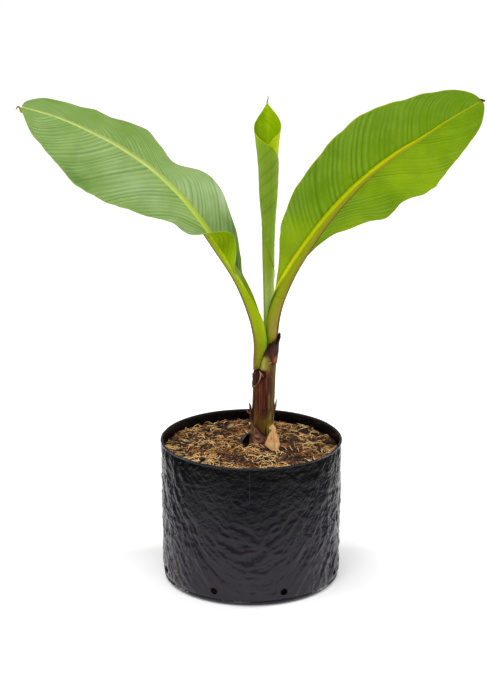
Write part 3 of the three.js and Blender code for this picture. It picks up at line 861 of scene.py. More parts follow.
def mottle(across, up, seed):
    """Noise over a sheet, from -1 to 1."""
    return lumps(table(across, up), 1, seed)


def edge_share(u, v):
    """1 at the sides and the top of a sheet, falling to 0 inside it."""
    return np.maximum(smooth(np.abs(u - 0.5), 0.44, 0.5), smooth(v, 0.9, 1))


def dry_sheet(name, node, slot, material, size, thickness, place, tint):
    """A thin, dry sheet that is painted by a tint(u, v)."""
    piece = shape_grid(name, *size, place)
    paint_points(piece, "tint", tint(*grid_shares(*size)))
    thicken(piece, thickness)
    finish_piece(piece, material, slot, *node)


def stem_scrap(name, node, angles, foot, top, lift, tint, seed):
    """A sheet against the stem: its foot, its top and its lift are rows of values across it."""
    def place(u, v):
        turn = np.radians(np.interp(u, np.linspace(0, 1, len(angles)), angles))
        low, high = along(foot, u), along(top, u)
        rag = 1.6 * mottle(u * 9, 0 * u, seed) + 0.8 * mottle(u * 24, 0 * u, seed + 1)
        off = along(lift[0], u) * (1 - v) + along(lift[1], u) * v
        off = off + 0.5 * mottle(u * 3.2, v * 3.2, seed + 2)
        off = off + 0.175 * mottle(u * 11, v * 6, seed + 3)
        return on_stem(turn, low + (high + rag - low) * v, off)

    dry_sheet(name, [node], "dried_sheath", dried_sheath, (30, 36), 0.8, place, tint)


dried_sheath = scrap_finish("dried_sheath", 0.62)


def scale_tint(u, v):
    fleck = mottle(u * 15, v * 9, 101)
    return painted(
        u, (146, 94, 80),
        (smooth(fleck, 0.0, 0.6) * 0.7, (204, 156, 142)),
        (smooth(-fleck, 0, 0.6) * 0.8, (70, 42, 34)),
        (smooth(-u, -0.46, -0.30) * 0.85, (112, 84, 36)),
        (smooth(v, 0.74, 0.92) * 0.8, (70, 40, 28)),
        (edge_share(u, v) * 0.9, (48, 28, 22)))


def collar_tint(u, v):
    fleck = mottle(u * 5, v * 4, 121)
    return painted(
        u, (72, 38, 32),
        (smooth(fleck, 0, 0.8) * 0.5, (98, 64, 56)),
        (smooth(-fleck, 0.1, 0.7) * 0.6, (40, 18, 16)),
        (near(u, 0.36, 0.12) * near(v, 0.24, 0.14) * 1.3, (168, 90, 50)),
        (smooth(v, 0.86, 1) * 0.6, (46, 28, 24)))


def torn_tint(u, v):
    fleck = mottle(u * 5, v * 5, 141)
    return painted(
        u, (56, 28, 24),
        (smooth(fleck, 0, 0.8) * 0.6, (84, 54, 48)),
        (smooth(-fleck, 0.1, 0.8) * 0.6, (22, 12, 11)),
        (edge_share(u, v), (20, 12, 11)))


stem_scrap("foot_scale_sheet", "foot_scale", (-190, -42),
           (189, 189, 189, 189, 189), (228, 224, 217, 209, 203),
           ((0.9, 0.9, 1.0, 0.9, 0.8), (0.5, 0.5, 0.7, 1.2, 1.6)), scale_tint, 111)
stem_scrap("dried_collar_sheet", "dried_collar", (-82, 52),
           (325, 309, 309, 320, 330), (336, 338, 341, 348, 342),
           ((0.7, 0.6, 0.6, 0.6, 0.6), (0.6, 0.8, 1.6, 3.0, 2.2)), collar_tint, 131)
stem_scrap("torn_sheath_sheet", "torn_sheath_scrap", (-186, -82),
           (273, 274, 277, 284, 291), (289, 296, 303, 303, 298),
           ((0.8, 1.4, 1.8, 1.2, 0.6), (0.6, 0.7, 0.9, 0.7, 0.5)), torn_tint, 151)

# The tan leaf piece: how far it reaches to the left and the right of its middle, from its foot
# to its top.
TAN_MIDDLE, TAN_FOOT, TAN_RISE = 29, 187, 37
TAN_LEFT = (6.0, -1.5, -7.0, -9.6, -9.8, -7.9, -5.6, -3.4, -1.2, -4.8, -1.8)
TAN_RIGHT = (7.4, 9.0, 9.8, 10.4, 10.4, 9.4, 8.0, 6.6, 5.6, 5.0, 2.4)


def tan_place(u, v):
    """A dry leaf piece that leans against the stem's foot on one torn corner."""
    left, right = along(TAN_LEFT, v), along(TAN_RIGHT, v)
    torn = 0.9 * mottle(v * 12, (u > 0.5) * 7.0, 171)
    across = left + (right - left) * u + torn * (2 * u - 1)
    rise = TAN_RISE * v + 1.2 * mottle(u * 5, 0 * v, 173) * (v > 0.85)
    curl = 0.035 * (across - 1) ** 2 * (0.5 + v)
    depth = -19.0 + 14.5 * v - curl + 1.2 * mottle(u * 2.6, v * 3.4, 175)
    return table(TAN_MIDDLE + across, depth, TAN_FOOT + rise)


def tan_tint(u, v):
    fleck = mottle(u * 5, v * 7, 161)
    return painted(
        u, (255, 200, 132),
        (smooth(fleck, 0, 0.8) * 0.5, (255, 232, 182)),
        (smooth(-fleck, 0.1, 0.8) * 0.5, (232, 158, 100)),
        (near(u, 0.52 + 0.1 * np.sin(v * 5), 0.03) * 0.4, (170, 108, 70)),
        (near(u, 0.36, 0.05) * near(v, 0.5, 0.06) * 0.8, (120, 72, 48)),
        (edge_share(u, v) * 0.6, (150, 96, 62)))


dry_leaf = scrap_finish("dry_leaf", 0.75, 0.0003, 0.22)
dry_sheet("tan_dry_leaf", ["tan_leaf_scrap"], "dried_leaf", dry_leaf, (26, 40), 0.7, tan_place,
          tan_tint)


def arch_place(u, v):
    """A dark strip of sheath that bows out from the stem's left side to the mix."""
    angle = np.radians(-160 - 18 * (u - 0.5) * (1 - 0.3 * v))
    height = along((206, 206.5, 204.5, 200, 194, 186), v) + mottle(u * 3, v * 3, 181)
    lift = along((0.6, 5.4, 10.6, 14.2, 16.0, 14.8), v) - 1.6 * (2 * u - 1) ** 2
    return on_stem(angle, height, lift)


def arch_tint(u, v):
    fleck = mottle(u * 4, v * 6, 183)
    return painted(
        u, (84, 68, 68),
        (smooth(fleck, 0, 0.8) * 0.6, (132, 112, 112)),
        (smooth(-fleck, 0, 0.8) * 0.6, (36, 26, 24)))


def pocket_shade_place(u, v):
    """A near-black sheet behind that strip, which closes the pocket between it and the stem: painted
    shade for the pocket.
    """
    height = 180 + (along((205, 205.5, 202.5, 197, 189, 186), u) - 180) * v
    return on_stem(np.radians(-172 - 8 * u), height, along((0.2, 4.8, 9.4, 12.6, 14.2, 14.6), u))


# Painted shade: the pocket sheet is near black all over.
def pocket_shade_tint(u, v):
    return painted(u, (20, 14, 12))


dry_sheet("dark_sheath_strip", ["dark_sheath_scrap"], "dried_sheath", dried_sheath, (16, 40), 0.8,
          arch_place, arch_tint)
dry_sheet("pocket_shade_sheet", [], "dried_sheath", dried_sheath, (14, 14), 0.6, pocket_shade_place, pocket_shade_tint)


def unit(rows):
    """Directions, each at length 1."""
    return rows / np.linalg.norm(rows, axis=1)[:, None]


def heading_on(path, share, step):
    """Which way a path runs at each share of it."""
    return unit(along(path, np.minimum(share + step, 1)) - along(path, np.maximum(share - step, 0)))


def nearest_share(points, path, start=0, end=1, steps=160):
    """How far along a path each point lies. Points are taken some 2000 at a time."""
    shares = np.linspace(start, end, steps)
    line = along(path, shares)
    blocks = np.array_split(points, max(1, len(points) // 2000))
    index = [np.linalg.norm(block[:, None] - line[None], axis=2).argmin(1) for block in blocks]
    return shares[np.concatenate(index)]


def strand(name, slot, material, path, radii, tints, seed, *nodes):
    """A thin, frayed stalk along a path, tapering as its radii say, with tints along it."""
    def place(u, v):
        ahead = heading_on(path, v, 0.01)
        side = unit(np.cross(ahead, np.tile([0.31, 0.94, 0.11], (len(u), 1))))
        up = np.cross(side, ahead)
        ends = np.sqrt(np.clip(1 - np.abs(2 * v - 1) ** 12, 0, 1))
        rough = 1 + 0.2 * lumps(ring(2, 2 * np.pi * u, v * 10), 1, seed)
        radius = (along(radii, v) * ends * rough)[:, None]
        turn = 2 * np.pi * u[:, None]
        return along(path, v) + radius * (side * np.cos(turn) + up * np.sin(turn))

    piece = close_up(shape_grid(name, 10, 30, place), gap=0.002)
    share = nearest_share(piece_points(piece), path)
    colours = np.array([linear(*tint) for tint in tints])
    knots = np.linspace(0, 1, len(tints))
    paint_points(piece, "tint", table(*(np.interp(share, knots, part) for part in colours.T)))
    finish_piece(piece, material, slot, *nodes)


twig = scrap_finish("frayed_fibre", 0.8)
# What is frayed: its name, path, radii, tints, seed, and the node it stands for, if any.
FRAYED = (
    ("left_frayed_spike",
     [(2.5, 6, 219), (0.2, 7, 229), (-0.8, 8, 238), (-1.6, 8, 246), (-3.0, 8, 252)],
     (1.4, 2.0, 1.9, 1.5, 0.5), [(60, 38, 28), (84, 56, 36), (112, 78, 52)], 191, "left_spike"),
    ("left_side_prong",
     [(0.5, 4, 237), (-2.4, 3, 238), (-4.8, 2, 240), (-6.6, 2, 244)],
     (1.2, 1.1, 0.8, 0.4), [(92, 60, 38), (186, 134, 88)], 193),
    ("left_twig_fibre",
     [(0.0, 5, 229), (2.0, 1.5, 221), (6.0, -1.2, 215), (11, -2.8, 210), (17, -3.6, 206),
      (23, -2.2, 201)],
     (1.0, 1.0, 0.9, 0.9, 0.8, 0.4),
     [(84, 52, 36), (160, 104, 70), (124, 82, 56), (84, 54, 38)], 195),
    ("right_frayed_spike",
     [(31.5, 10, 236), (33.0, 10, 244), (34.0, 10, 250), (35.6, 10, 257)],
     (1.2, 1.6, 1.2, 0.4), [(84, 56, 38), (118, 84, 56), (150, 114, 82)], 197, "right_spike"),
    ("curled_sheath_fibre",
     [(11, -2.4, 302), (13.0, -2.9, 296), (11.5, -3.6, 289), (9.0, -4.0, 283), (5.5, -3.2, 279.5),
      (2.0, -1.2, 279)],
     (0.6, 1.0, 0.8, 0.8, 1.1, 0.5),
     [(206, 150, 100), (190, 128, 84), (104, 56, 40), (186, 130, 78)], 199),
    ("curled_sheath_tip",
     [(12.5, -2.8, 299), (15.0, -3.0, 296), (17.0, -2.8, 292)],
     (0.8, 0.6, 0.3), [(206, 152, 104), (150, 96, 62)], 201),
    ("collar_straw",
     [(20.5, -1.8, 307), (24.0, -1.6, 311), (28.0, -0.6, 313.5)],
     (0.4, 0.8, 0.5), [(176, 128, 72), (196, 150, 88)], 203),
    ("collar_black_tip",
     [(35.0, 8, 341), (36.4, 7, 345), (35.8, 7, 348), (37.4, 6, 350)],
     (0.8, 0.7, 0.5, 0.3), [(56, 36, 30), (30, 20, 18), (20, 15, 14)], 205),
    ("collar_black_hook",
     [(38.0, 9, 342), (39.6, 8, 346), (41.0, 7, 348.5)],
     (0.8, 0.6, 0.3), [(40, 26, 22), (20, 15, 14)], 207),
)
for name, *frayed in FRAYED:
    strand(name, "dried_sheath", twig, *frayed)

# ---- Open leaves ----
# Each leaf is one stalk that runs on as the rib, channelled above and keeled below, with
# half a blade hung on either side. The blade is thin and pleated along its fine veins.
RIB_SIDES = 48
RIB_END = 0.02  # the share of its rows in which each end closes
BLADE_COLUMNS, BLADE_ROWS = 44, 320
BLADE_ARCH = 0.05  # how high it bows between rib and margin, as a share of its width
BLADE_FILM = 0.6
TIP_START, TIP_POWER = 0.92, 2.6  # where its tip begins to round off, and how bluntly
LEAF_WAX = {"Specular IOR Level": 0.32}
LEAF_MATT = {"Specular IOR Level": 0.04}
LEAF_DULL = {"Specular IOR Level": 0.0}


class Leaf:
    """The line of a leaf's rib, where its upper face looks, the rib's thickness, and the
    degrees by which the stalk is turned at the fork."""

    def __init__(self, rib, face_at_fork, face_at_tip, radii, blade_start, twist):
        self.rib, self.radii, self.blade_start, self.twist = rib, radii, blade_start, twist
        self.face_at_fork, self.face_at_tip = np.array(face_at_fork), np.array(face_at_tip)
        line = along(rib, np.linspace(blade_start, 1, 300))
        self.blade_length = np.linalg.norm(np.diff(line, axis=0), axis=1).sum()

    def twist_at(self, share):
        """The stalk's turn at the fork, which runs out where the blade begins."""
        undone = smooth(share, 0.5 * self.blade_start, 1.15 * self.blade_start)
        return np.radians(self.twist) * (1 - undone)

    def frame(self, share):
        """At each share of the rib: its centre, its sideways and upward directions, its radius."""
        ahead = heading_on(self.rib, share, 1e-4)
        turn = np.clip((share - self.blade_start) / (1 - self.blade_start), 0, 1)[:, None]
        face = self.face_at_fork * (1 - turn) + self.face_at_tip * turn
        up = unit(face - ahead * (face * ahead).sum(1)[:, None])
        return along(self.rib, share), np.cross(ahead, up), up, along(self.radii, share)


def rib_section(turn, share, blade_start):
    """The rib's section: round below, flat above with a shallow channel. Below the blade the
    stalk is fuller, with a deeper channel."""
    x, y = np.cos(turn), np.sin(turn)
    full = 1 - smooth(share, 0.35 * blade_start, 1.25 * blade_start)
    brim = 0.45 + 0.30 * full
    dip = (0.30 + 0.25 * full) * np.clip(1 - (x / 0.62) ** 2, 0, 1)
    y = np.where(y > brim - dip, np.minimum(y, brim) - dip * (y > 0), y)
    return x, y


def into_sheath(points, slope=0.9):
    """Draws the foot of a stalk in, so that it comes up from inside the outer sheath."""
    away = points[:, :2] - table(*stem_centre(points[:, 2]))
    reach = np.hypot(away[:, 0], away[:, 1])
    above = points[:, 2] - stem_margin(np.arctan2(away[:, 1], away[:, 0]))
    limit = stem_radius(points[:, 2]) - 1.3 + np.clip(above, 0, None) * slope
    points[:, :2] -= away * (1 - np.minimum(1, limit / np.maximum(reach, 1)))[:, None]
    return points


def rib_piece(name, leaf, start, end, rows, node, slot, material, tint, root=0.0):
    """A length of stalk or rib, from one share of the leaf's line to another. Given a root,
    its foot goes that far down inside the sheath."""
    def place(u, v):
        # The ends close in a few rows; the rest is spread evenly along the rib.
        inside = np.interp(v, (0, RIB_END, 1 - RIB_END, 1), (0, 1, 1, 0))
        share = start + (end - start) * np.clip((v - RIB_END) / (1 - 2 * RIB_END), 0, 1)
        centre, sideways, up, radius = leaf.frame(share)
        turn = 2 * np.pi * u
        x, y = rib_section(turn, share, leaf.blade_start)
        grain = 1 + 0.012 * lumps(ring(4, turn, share * 30), 1, 301)
        size = (radius * inside * grain)[:, None]
        twist = leaf.twist_at(share)
        x, y = x * np.cos(twist) + y * np.sin(twist), y * np.cos(twist) - x * np.sin(twist)
        points = centre + sideways * size * x[:, None] + up * size * y[:, None]
        points[:, 2] -= np.clip((0.10 - v) / 0.08, 0, 1) * root
        return into_sheath(points) if root else points

    piece = close_up(shape_grid(name, RIB_SIDES, rows, place), gap=0.004)
    points = piece_points(piece)
    share = nearest_share(points, leaf.rib, start, end, 400)
    centre, sideways, up, _ = leaf.frame(share)
    offset = points - centre
    turn = np.arctan2((offset * up).sum(1), (offset * sideways).sum(1)) + leaf.twist_at(share)
    paint_points(piece, "tint", tint(np.degrees(turn), share, points))
    finish_piece(piece, material, slot, node)


def around(turn, middle, width):
    """1 in the middle of a band that runs along the rib, falling to 0 at its width."""
    gap = (turn - middle + 180) % 360 - 180
    return smooth(-np.abs(gap), -width, -0.45 * width)


def stalk_finish(name):
    """Smooth, waxy green skin with faint lengthwise threads."""
    skin = Finish(name, {"Specular IOR Level": 0.09})
    cloud = skin.noise(skin.place(), 90.0, 3.0)
    fine = skin.noise(skin.place(), 700.0, 3.0)
    threads = skin.sum(
        skin.spread(cloud, 0.3, 0.7, 0.0, 0.10), skin.spread(fine, 0.45, 0.75, 0.0, 0.14))
    return skin.wear(
        colour=skin.blend(threads, skin.mark("tint")["Color"], (84, 104, 30)),
        roughness=skin.spread(cloud, 0.3, 0.7, 0.42, 0.58),
        normal=skin.relief(fine, 0.00012),
    )


stalk_skin = stalk_finish("leaf_stalk")
rib_skin = stalk_finish("leaf_rib")


class Half:
    """Half a blade: which side of the rib it hangs on, where along the blade it starts, its
    widths and its folds, in degrees up from flat, in rows from foot to tip, how far its veins
    slant forward, and from where its pleats show."""

    def __init__(self, side, start, widths, folds, slant, pleats_from=-1.0):
        self.side, self.start, self.widths, self.folds = side, start, widths, folds
        self.slant, self.pleats_from = slant, pleats_from

    def pleated(self, share):
        """How strongly the pleats show along the leaf: they grow faint towards the tip."""
        shown = smooth(share, self.pleats_from, self.pleats_from + 0.15)
        return shown * (1 - 0.2 * smooth(share, 0.45, 0.85))


def vein_root(u, v, slant):
    """Where on the rib the vein through a point begins: veins lean forward from there."""
    return v - slant * (1 - (1 - v) ** 3) * u ** 1.15


def pleats(vein, seed):
    """The pleats between the stronger veins, 5 to 13 mm apart, from -1 to 1."""
    line = table(vein, 0 * vein)
    wave = np.sin(2 * np.pi * (vein / 8.5 + 0.55 * lumps(line, 26, seed)))
    return 0.6 * wave + 0.4 * lumps(line, 2.6, seed + 2)


def blade_piece(name, leaf, half, node, slot, finishes, tint, other_tint, seed, ripple=1.0):
    """Half a blade: a sheet whose two faces have each their own finish and tint."""
    def place(u, v):
        share = half.start + (1 - half.start) * v
        centre, sideways, up, radius = leaf.frame(
            leaf.blade_start + (1 - leaf.blade_start) * share)
        fold = np.radians(along(half.folds, share))[:, None]
        width = along(half.widths, share)
        into = np.clip((share - TIP_START) / (1 - TIP_START), 0, 1)
        width = width * (1 - into ** TIP_POWER) ** (1 / TIP_POWER)
        width = width * smooth(share, half.start - 0.01, half.start + 0.07) + 0.4
        outwards = half.side * sideways * np.cos(fold) + up * np.sin(fold)
        normal = up * np.cos(fold) - half.side * sideways * np.sin(fold)
        root = up * 0.45 * radius[:, None] + half.side * sideways * 0.7 * radius[:, None]
        vein = vein_root(u, share, half.slant) * leaf.blade_length
        hush = smooth(u, 0.02, 0.16) * (1 - 0.75 * smooth(u, 0.86, 1)) * smooth(width, 6, 30)
        hush = hush * half.pleated(share)
        lift = 0.42 * pleats(vein, seed) * hush
        lift = lift + BLADE_ARCH * width * np.sin(np.pi * u)
        edge = table(share * leaf.blade_length, 0 * u)
        lift = lift + ripple * 1.9 * lumps(edge, 23, seed + 9) * u ** 2.2 * smooth(width, 8, 30)
        width = width * (1 + 0.012 * lumps(edge, 12, seed + 11) * u)
        return centre + root + outwards * (u * width)[:, None] + normal * lift[:, None]

    piece = shape_grid(name, BLADE_COLUMNS, BLADE_ROWS, place)
    u, v = grid_shares(BLADE_COLUMNS, BLADE_ROWS)
    share = half.start + (1 - half.start) * v
    vein = vein_root(u, share, half.slant) * leaf.blade_length
    mark_points(piece, "vein", vein)
    mark_points(piece, "pleat", pleats(vein, seed) * half.pleated(share))
    mark_points(piece, "across", u)
    paint_points(piece, "tint", tint(u, share))
    paint_points(piece, "other_tint", other_tint(u, share))
    if half.side < 0:
        mend(piece, bpy.ops.mesh.flip_normals)
    thicken(piece, BLADE_FILM, both_sides=finishes)
    finish_piece(piece, None, slot, node, angle=80)


def blade_finish(name, tones, bright, constants, tint_mark="tint"):
    """One face of a blade. Its tones are a painted sheen on the pleats' ridges, which also gives the
    pale specks, a painted shade in the pleats' grooves, which also darkens the blotches, the fine
    veins and the thin margin; bright is how strongly the painted sheen shows."""
    sheen_and_speck, groove, fine_vein, margin = tones
    face = Finish(name, constants)
    vein, pleat, across = (face.mark(mark)["Fac"] for mark in ("vein", "pleat", "across"))
    fine = face.streaks(vein, 1.25, 3.0)
    cloud = face.noise(face.place(), 26.0, 3.0)
    patch = face.spread(face.noise(face.place(), 30.0, 2.0), 0.30, 0.62)
    speck = face.noise(face.place(), 800.0, 2.0)
    return face.wear(
        colour=face.over(
            face.mark(tint_mark)["Color"],
            (face.spread(cloud, 0.35, 0.70, 0.0, 0.35), groove),
            # Painted highlight: a sheen on the pleats' ridges, in patches.
            (face.times(face.spread(pleat, -0.3, 0.9, 0.0, bright), patch), sheen_and_speck),
            # Painted shade in the pleats' grooves.
            (face.spread(pleat, -0.40, -0.85, 0.0, 0.7), groove),
            (face.spread(fine, 0.50, 0.72, 0.0, 0.45), fine_vein),
            (face.spread(speck, 0.62, 0.72, 0.0, 0.25), sheen_and_speck),
            (face.spread(across, 0.975, 0.992), margin)),
        roughness=face.spread(cloud, 0.3, 0.7, 0.42, 0.56),
        normal=face.relief(fine, 0.00010),
    )


# ---- Left leaf ----
# It arches over to the left and shows its grey-green waxy upper side. The foot of its near
# half is folded over, so that the bright underside shows as a tongue beside the stalk.
left = Leaf(
    [(13, 7, 300), (13, 6.5, 346), (3, 8.5, 386), (-16.4, 14.4, 428), (-45.4, 26.6, 470),
     (-84, 46, 520), (-127, 65, 561), (-174, 82, 592), (-222, 97, 615), (-269, 109, 633),
     (-317, 115, 646)],
    (0.45, -0.50, 0.74), (0.30, -0.55, 0.78),
    [10.6, 10.6, 9.8, 8.2, 7.3, 6.8, 6.3, 5.6, 4.6, 3.6, 2.3], 0.30, 50)
left_near = Half(
    -1, 0.02, [5, 16, 27, 29, 36, 53, 63, 72, 75, 76, 69, 58, 48, 34, 8],
    [72, 96, 134, 12, -12, -25, -30, -32, -32, -30, -28, -24, -20, -15, -10], 0.21)
left_far = Half(
    1, 0.0, [3, 12, 26, 37, 50, 56, 38, 57, 71, 60, 50, 44, 37, 28, 18],
    [38, 34, 30, 24, 14, 0, -8, -15, -15, -15, -12, -12, -10, -8, -5], 0.26)


def left_stalk_tint(turn, share, points):
    """Olive green, browned along its outer edge; the rib above is a pale channel."""
    low = 1 - smooth(share, 0.03, 0.16)
    rib = smooth(share, 0.27, 0.38)
    foot = 1 - smooth(share, 0.44, 0.66)
    facing = turn - np.degrees(left.twist_at(share))  # 134 is the front, 44 and 224 its two edges
    speckle = lumps(points, 2.2, 311)
    return painted(
        points, (122, 142, 6),
        (around(facing, 126, 60), (156, 178, 2)),
        (around(facing, 165, 30) * 0.5, (156, 166, 6)),
        (around(facing, 58, 42), (72, 112, 14)),
        (around(facing, 84, 20) * smooth(share, 0.12, 0.22), (196, 206, 8)),
        (around(facing, 208, 26), (104, 80, 14)),
        (around(facing, 228, 30) * 0.9, (70, 50, 20)),
        (low * around(facing, 155, 60) * 0.5, (112, 100, 12)),
        (low * around(facing, 78, 44) * 0.8, (78, 104, 28)),
        (low * around(facing, 196, 44) * 0.7, (124, 92, 24)),
        (low * smooth(speckle, 0.45, 0.75) * 0.6, (64, 60, 16)),
        (rib * around(turn, 90, 78), (204, 220, 132)),
        (rib * around(turn, 90, 78) * foot * 0.9, (182, 204, 14)),
        (rib * around(turn, 92, 12) * 0.55, (140, 170, 76)),
        (rib * around(turn, 260, 80), (120, 128, 26)))


rib_piece("left_stalk", left, 0.0, left.blade_start, 110, "left_petiole", "leaf_stalk",
          stalk_skin, left_stalk_tint, root=8)
rib_piece("left_rib", left, left.blade_start, 1.0, 240, "left_midrib", "leaf_rib",
          rib_skin, left_stalk_tint)


def left_near_tint(u, v):
    return painted(
        u, (128, 159, 70),
        (smooth(v, 0.55, 0.95) * 0.8, (112, 148, 46)),
        # Painted sheen: two pale grey-green patches, in the middle of the half and near its foot
        # towards the margin.
        (near(v, 0.45, 0.16) * near(u, 0.45, 0.3) * 0.7, (144, 172, 110)),
        (near(v, 0.22, 0.08) * smooth(u, 0.5, 1) * 0.8, (158, 182, 128)),
        (smooth(u, 0.75, 1) * 0.5, (116, 154, 62)),
        (near(u, 0.9, 0.12) * near(v, 0.68, 0.06) * 0.8, (76, 120, 28)),
        (1 - smooth(v, 0.10, 0.17), (126, 158, 40)))


def left_far_tint(u, v):
    return painted(
        u, (124, 155, 68),
        (smooth(v, 0.62, 0.98) * 0.6, (104, 142, 52)),
        # Painted sheen: pale bands across the half near its foot; painted shade: a darker band nearer
        # the foot.
        (near(v, 0.34, 0.12) * 0.8, (148, 174, 112)),
        (near(v, 0.25, 0.06) * smooth(u, 0.6, 0.9) * 0.7, (176, 196, 156)),
        (near(v, 0.17, 0.05) * smooth(u, 0.35, 0.9) * 0.9, (70, 104, 20)),
        (1 - smooth(v, 0.03, 0.12), (96, 122, 20)))


def left_under_tint(u, v):
    """The underside, with a bright line along the stalk where the blade's foot is folded over."""
    return painted(
        u, (138, 168, 2),
        (smooth(u, 0.3, 1) * 0.5, (126, 156, 2)),
        (1 - smooth(u, 0.05, 0.14), (216, 222, 2)))


left_upper = blade_finish(
    "left_upper_side", ((182, 202, 152), (78, 116, 34), (84, 124, 38), (150, 168, 84)),
    0.42, LEAF_WAX)
left_under = blade_finish(
    "left_underside", ((160, 186, 10), (100, 132, 2), (104, 136, 4), (170, 180, 20)),
    0.4, LEAF_MATT, "other_tint")
blade_piece("left_near_half", left, left_near, "left_blade_near", "leaf_upper_side",
            (left_upper, left_under), left_near_tint, left_under_tint, 321)
blade_piece("left_far_half", left, left_far, "left_blade_far", "leaf_upper_side",
            (left_upper, left_under), left_far_tint, left_under_tint, 341)
strand("left_tip_thread", "leaf_rib", stalk_skin,
       [(-315, 114, 645), (-317, 113, 640), (-319, 113, 644), (-321, 113, 647),
        (-323.5, 113, 646), (-325, 113, 642)],
       (1.8, 2.0, 1.6, 1.2, 1.0, 0.4),
       [(150, 170, 70), (140, 160, 50), (128, 110, 40), (96, 64, 30)], 361)

# ---- Right leaf ----
# It rises to the right with its underside to the front: saturated yellow-green, with a
# bright keeled rib that is browned along its lower edge, and a dried tip.
right = Leaf(
    [(26, 18, 304), (26.2, 18, 340), (33, 14, 388), (50.4, 5, 436), (74.4, -8, 481),
     (105, -25, 530), (143, -47, 580), (186, -70, 624), (226, -88, 656), (261, -104, 685),
     (300, -118, 713)],
    (-0.50, 0.70, 0.50), (-0.30, 0.93, 0.15),
    [10, 10, 9.8, 9.2, 8.0, 6.8, 5.4, 4.2, 2.4, 1.4, 0.9], 0.24, 45)
right_upper = Half(
    1, 0.0, [3, 7, 19, 36, 51, 62, 70, 75, 79, 80, 76, 70, 60, 43, 25],
    [60, 40, 30, 20, 14, 12, 10, 10, 10, 8, 6, 4, 0, 0, 0], 0.18, pleats_from=0.16)
right_lower = Half(
    -1, 0.0, [1, 4, 11, 18, 28, 45, 62, 61, 68, 69, 60, 51, 43, 33, 14],
    [50, 30, 10, 0, -12, -20, -25, -25, -25, -22, -20, -18, -15, -10, -5], 0.24)


def right_stalk_tint(turn, share, points):
    """Olive, with a darker channel on its inner side at the fork, which is painted shade, a bright
    line along the rib's upper edge and a browned lower edge."""
    tip = smooth(share, 0.72, 1)
    facing = turn - np.degrees(right.twist_at(share))  # -45 is the front, 45 and -135 its two edges
    rib = smooth(share, 0.245, 0.285)
    bloom = near(share, 0.15, 0.07) * smooth(lumps(points * (1, 1, 0.4), 5, 371), -0.6, 0.3)
    line_shares = (0.19, 0.25, 0.31, 0.5, 0.7)
    line_middle = np.interp(share, line_shares, (44, 32, 6, -4, -12))
    line_width = np.interp(share, line_shares, (16, 26, 30, 38, 48))
    channel_middle = np.interp(share, (0.15, 0.27), (28, 4))
    brown = 1 - smooth(share, 0.5, 0.78)
    return painted(
        points, (146, 156, 6),
        (around(facing, -70, 40) * 0.4, (156, 164, 6)),
        # Painted shade in the channel at the fork.
        (around(facing, channel_middle, 30) * smooth(share, 0.06, 0.14) * (1 - rib), (66, 106, 12)),
        (around(facing, line_middle, line_width) * smooth(share, 0.18, 0.22), (208, 216, 0)),
        (around(facing, -92, 34) * 0.6 * brown, (138, 122, 14)),
        (around(facing, -114, 26) * brown, (112, 70, 26)),
        (around(facing, -134, 26) * brown, (78, 38, 24)),
        (around(facing, -62, 46) * 0.8 * bloom, (166, 148, 66)),
        (around(turn, 140, 60) * smooth(share, 0.3, 0.4), (120, 150, 40)),
        (tip * 0.4, (160, 184, 20)))


rib_piece("right_stalk", right, 0.0, right.blade_start, 110, "right_petiole", "leaf_stalk",
          stalk_skin, right_stalk_tint, root=8)
rib_piece("right_rib", right, right.blade_start, 1.0, 240, "right_midrib", "leaf_rib",
          rib_skin, right_stalk_tint)


def right_upper_tint(u, v):
    return painted(
        u, (110, 148, 6),
        # Painted sheen: two greyer bands, near the foot and towards the tip.
        (near(v, 0.30, 0.12) * smooth(u, 0.35, 1) * 0.6, (116, 152, 50)),
        (near(v, 0.72, 0.2) * smooth(u, 0.2, 0.9) * 0.4, (116, 150, 44)),
        ((1 - smooth(v, 0.20, 0.36)) * (1 - 0.35 * u), (164, 190, 0)),
        (near(u, 0.1, 0.2) * 0.35, (128, 164, 4)),
        (smooth(v, 0.7, 1) * 0.5, (106, 146, 22)))


def right_over_tint(u, v):
    return painted(u, (112, 148, 66), (smooth(v, 0.6, 1) * 0.5, (100, 138, 50)))


def right_lower_tint(u, v):
    return painted(
        u, (128, 163, 0),
        (near(v, 0.60, 0.10) * 0.6, (156, 190, 0)),
        (near(v, 0.36, 0.07) * smooth(u, 0.3, 0.9) * 0.6, (156, 190, 2)),
        (near(v, 0.46, 0.07) * smooth(u, 0.4, 0.9) * 0.6, (100, 140, 20)),
        ((1 - smooth(v, 0.10, 0.3)) * 0.7, (104, 134, 10)),
        (smooth(v, 0.86, 1) * 0.5, (110, 146, 8)))


right_under = blade_finish(
    "right_underside", ((150, 180, 74), (76, 116, 2), (80, 120, 4), (150, 168, 26)),
    0.50, LEAF_MATT)
right_over = blade_finish(
    "right_upper_side", ((172, 194, 148), (86, 122, 44), (92, 130, 48), (166, 176, 92)),
    0.5, LEAF_DULL, "other_tint")
# This leaf's front is its underside, so its tint goes to the back of the sheet.
blade_piece("right_upper_half", right, right_upper, "right_blade_upper", "leaf_underside",
            (right_over, right_under), right_upper_tint, right_over_tint, 381)
blade_piece("right_lower_half", right, right_lower, "right_blade_lower", "leaf_underside",
            (right_over, right_under), right_lower_tint, right_over_tint, 401, ripple=1.6)
strand("right_dried_tip", "leaf_rib", twig,
       [(297, -117, 712), (300, -118, 714), (302.5, -119, 712.5), (304.5, -119, 714)],
       (1.8, 1.6, 1.3, 0.6), [(150, 140, 30), (70, 48, 24), (30, 22, 18)], 421)

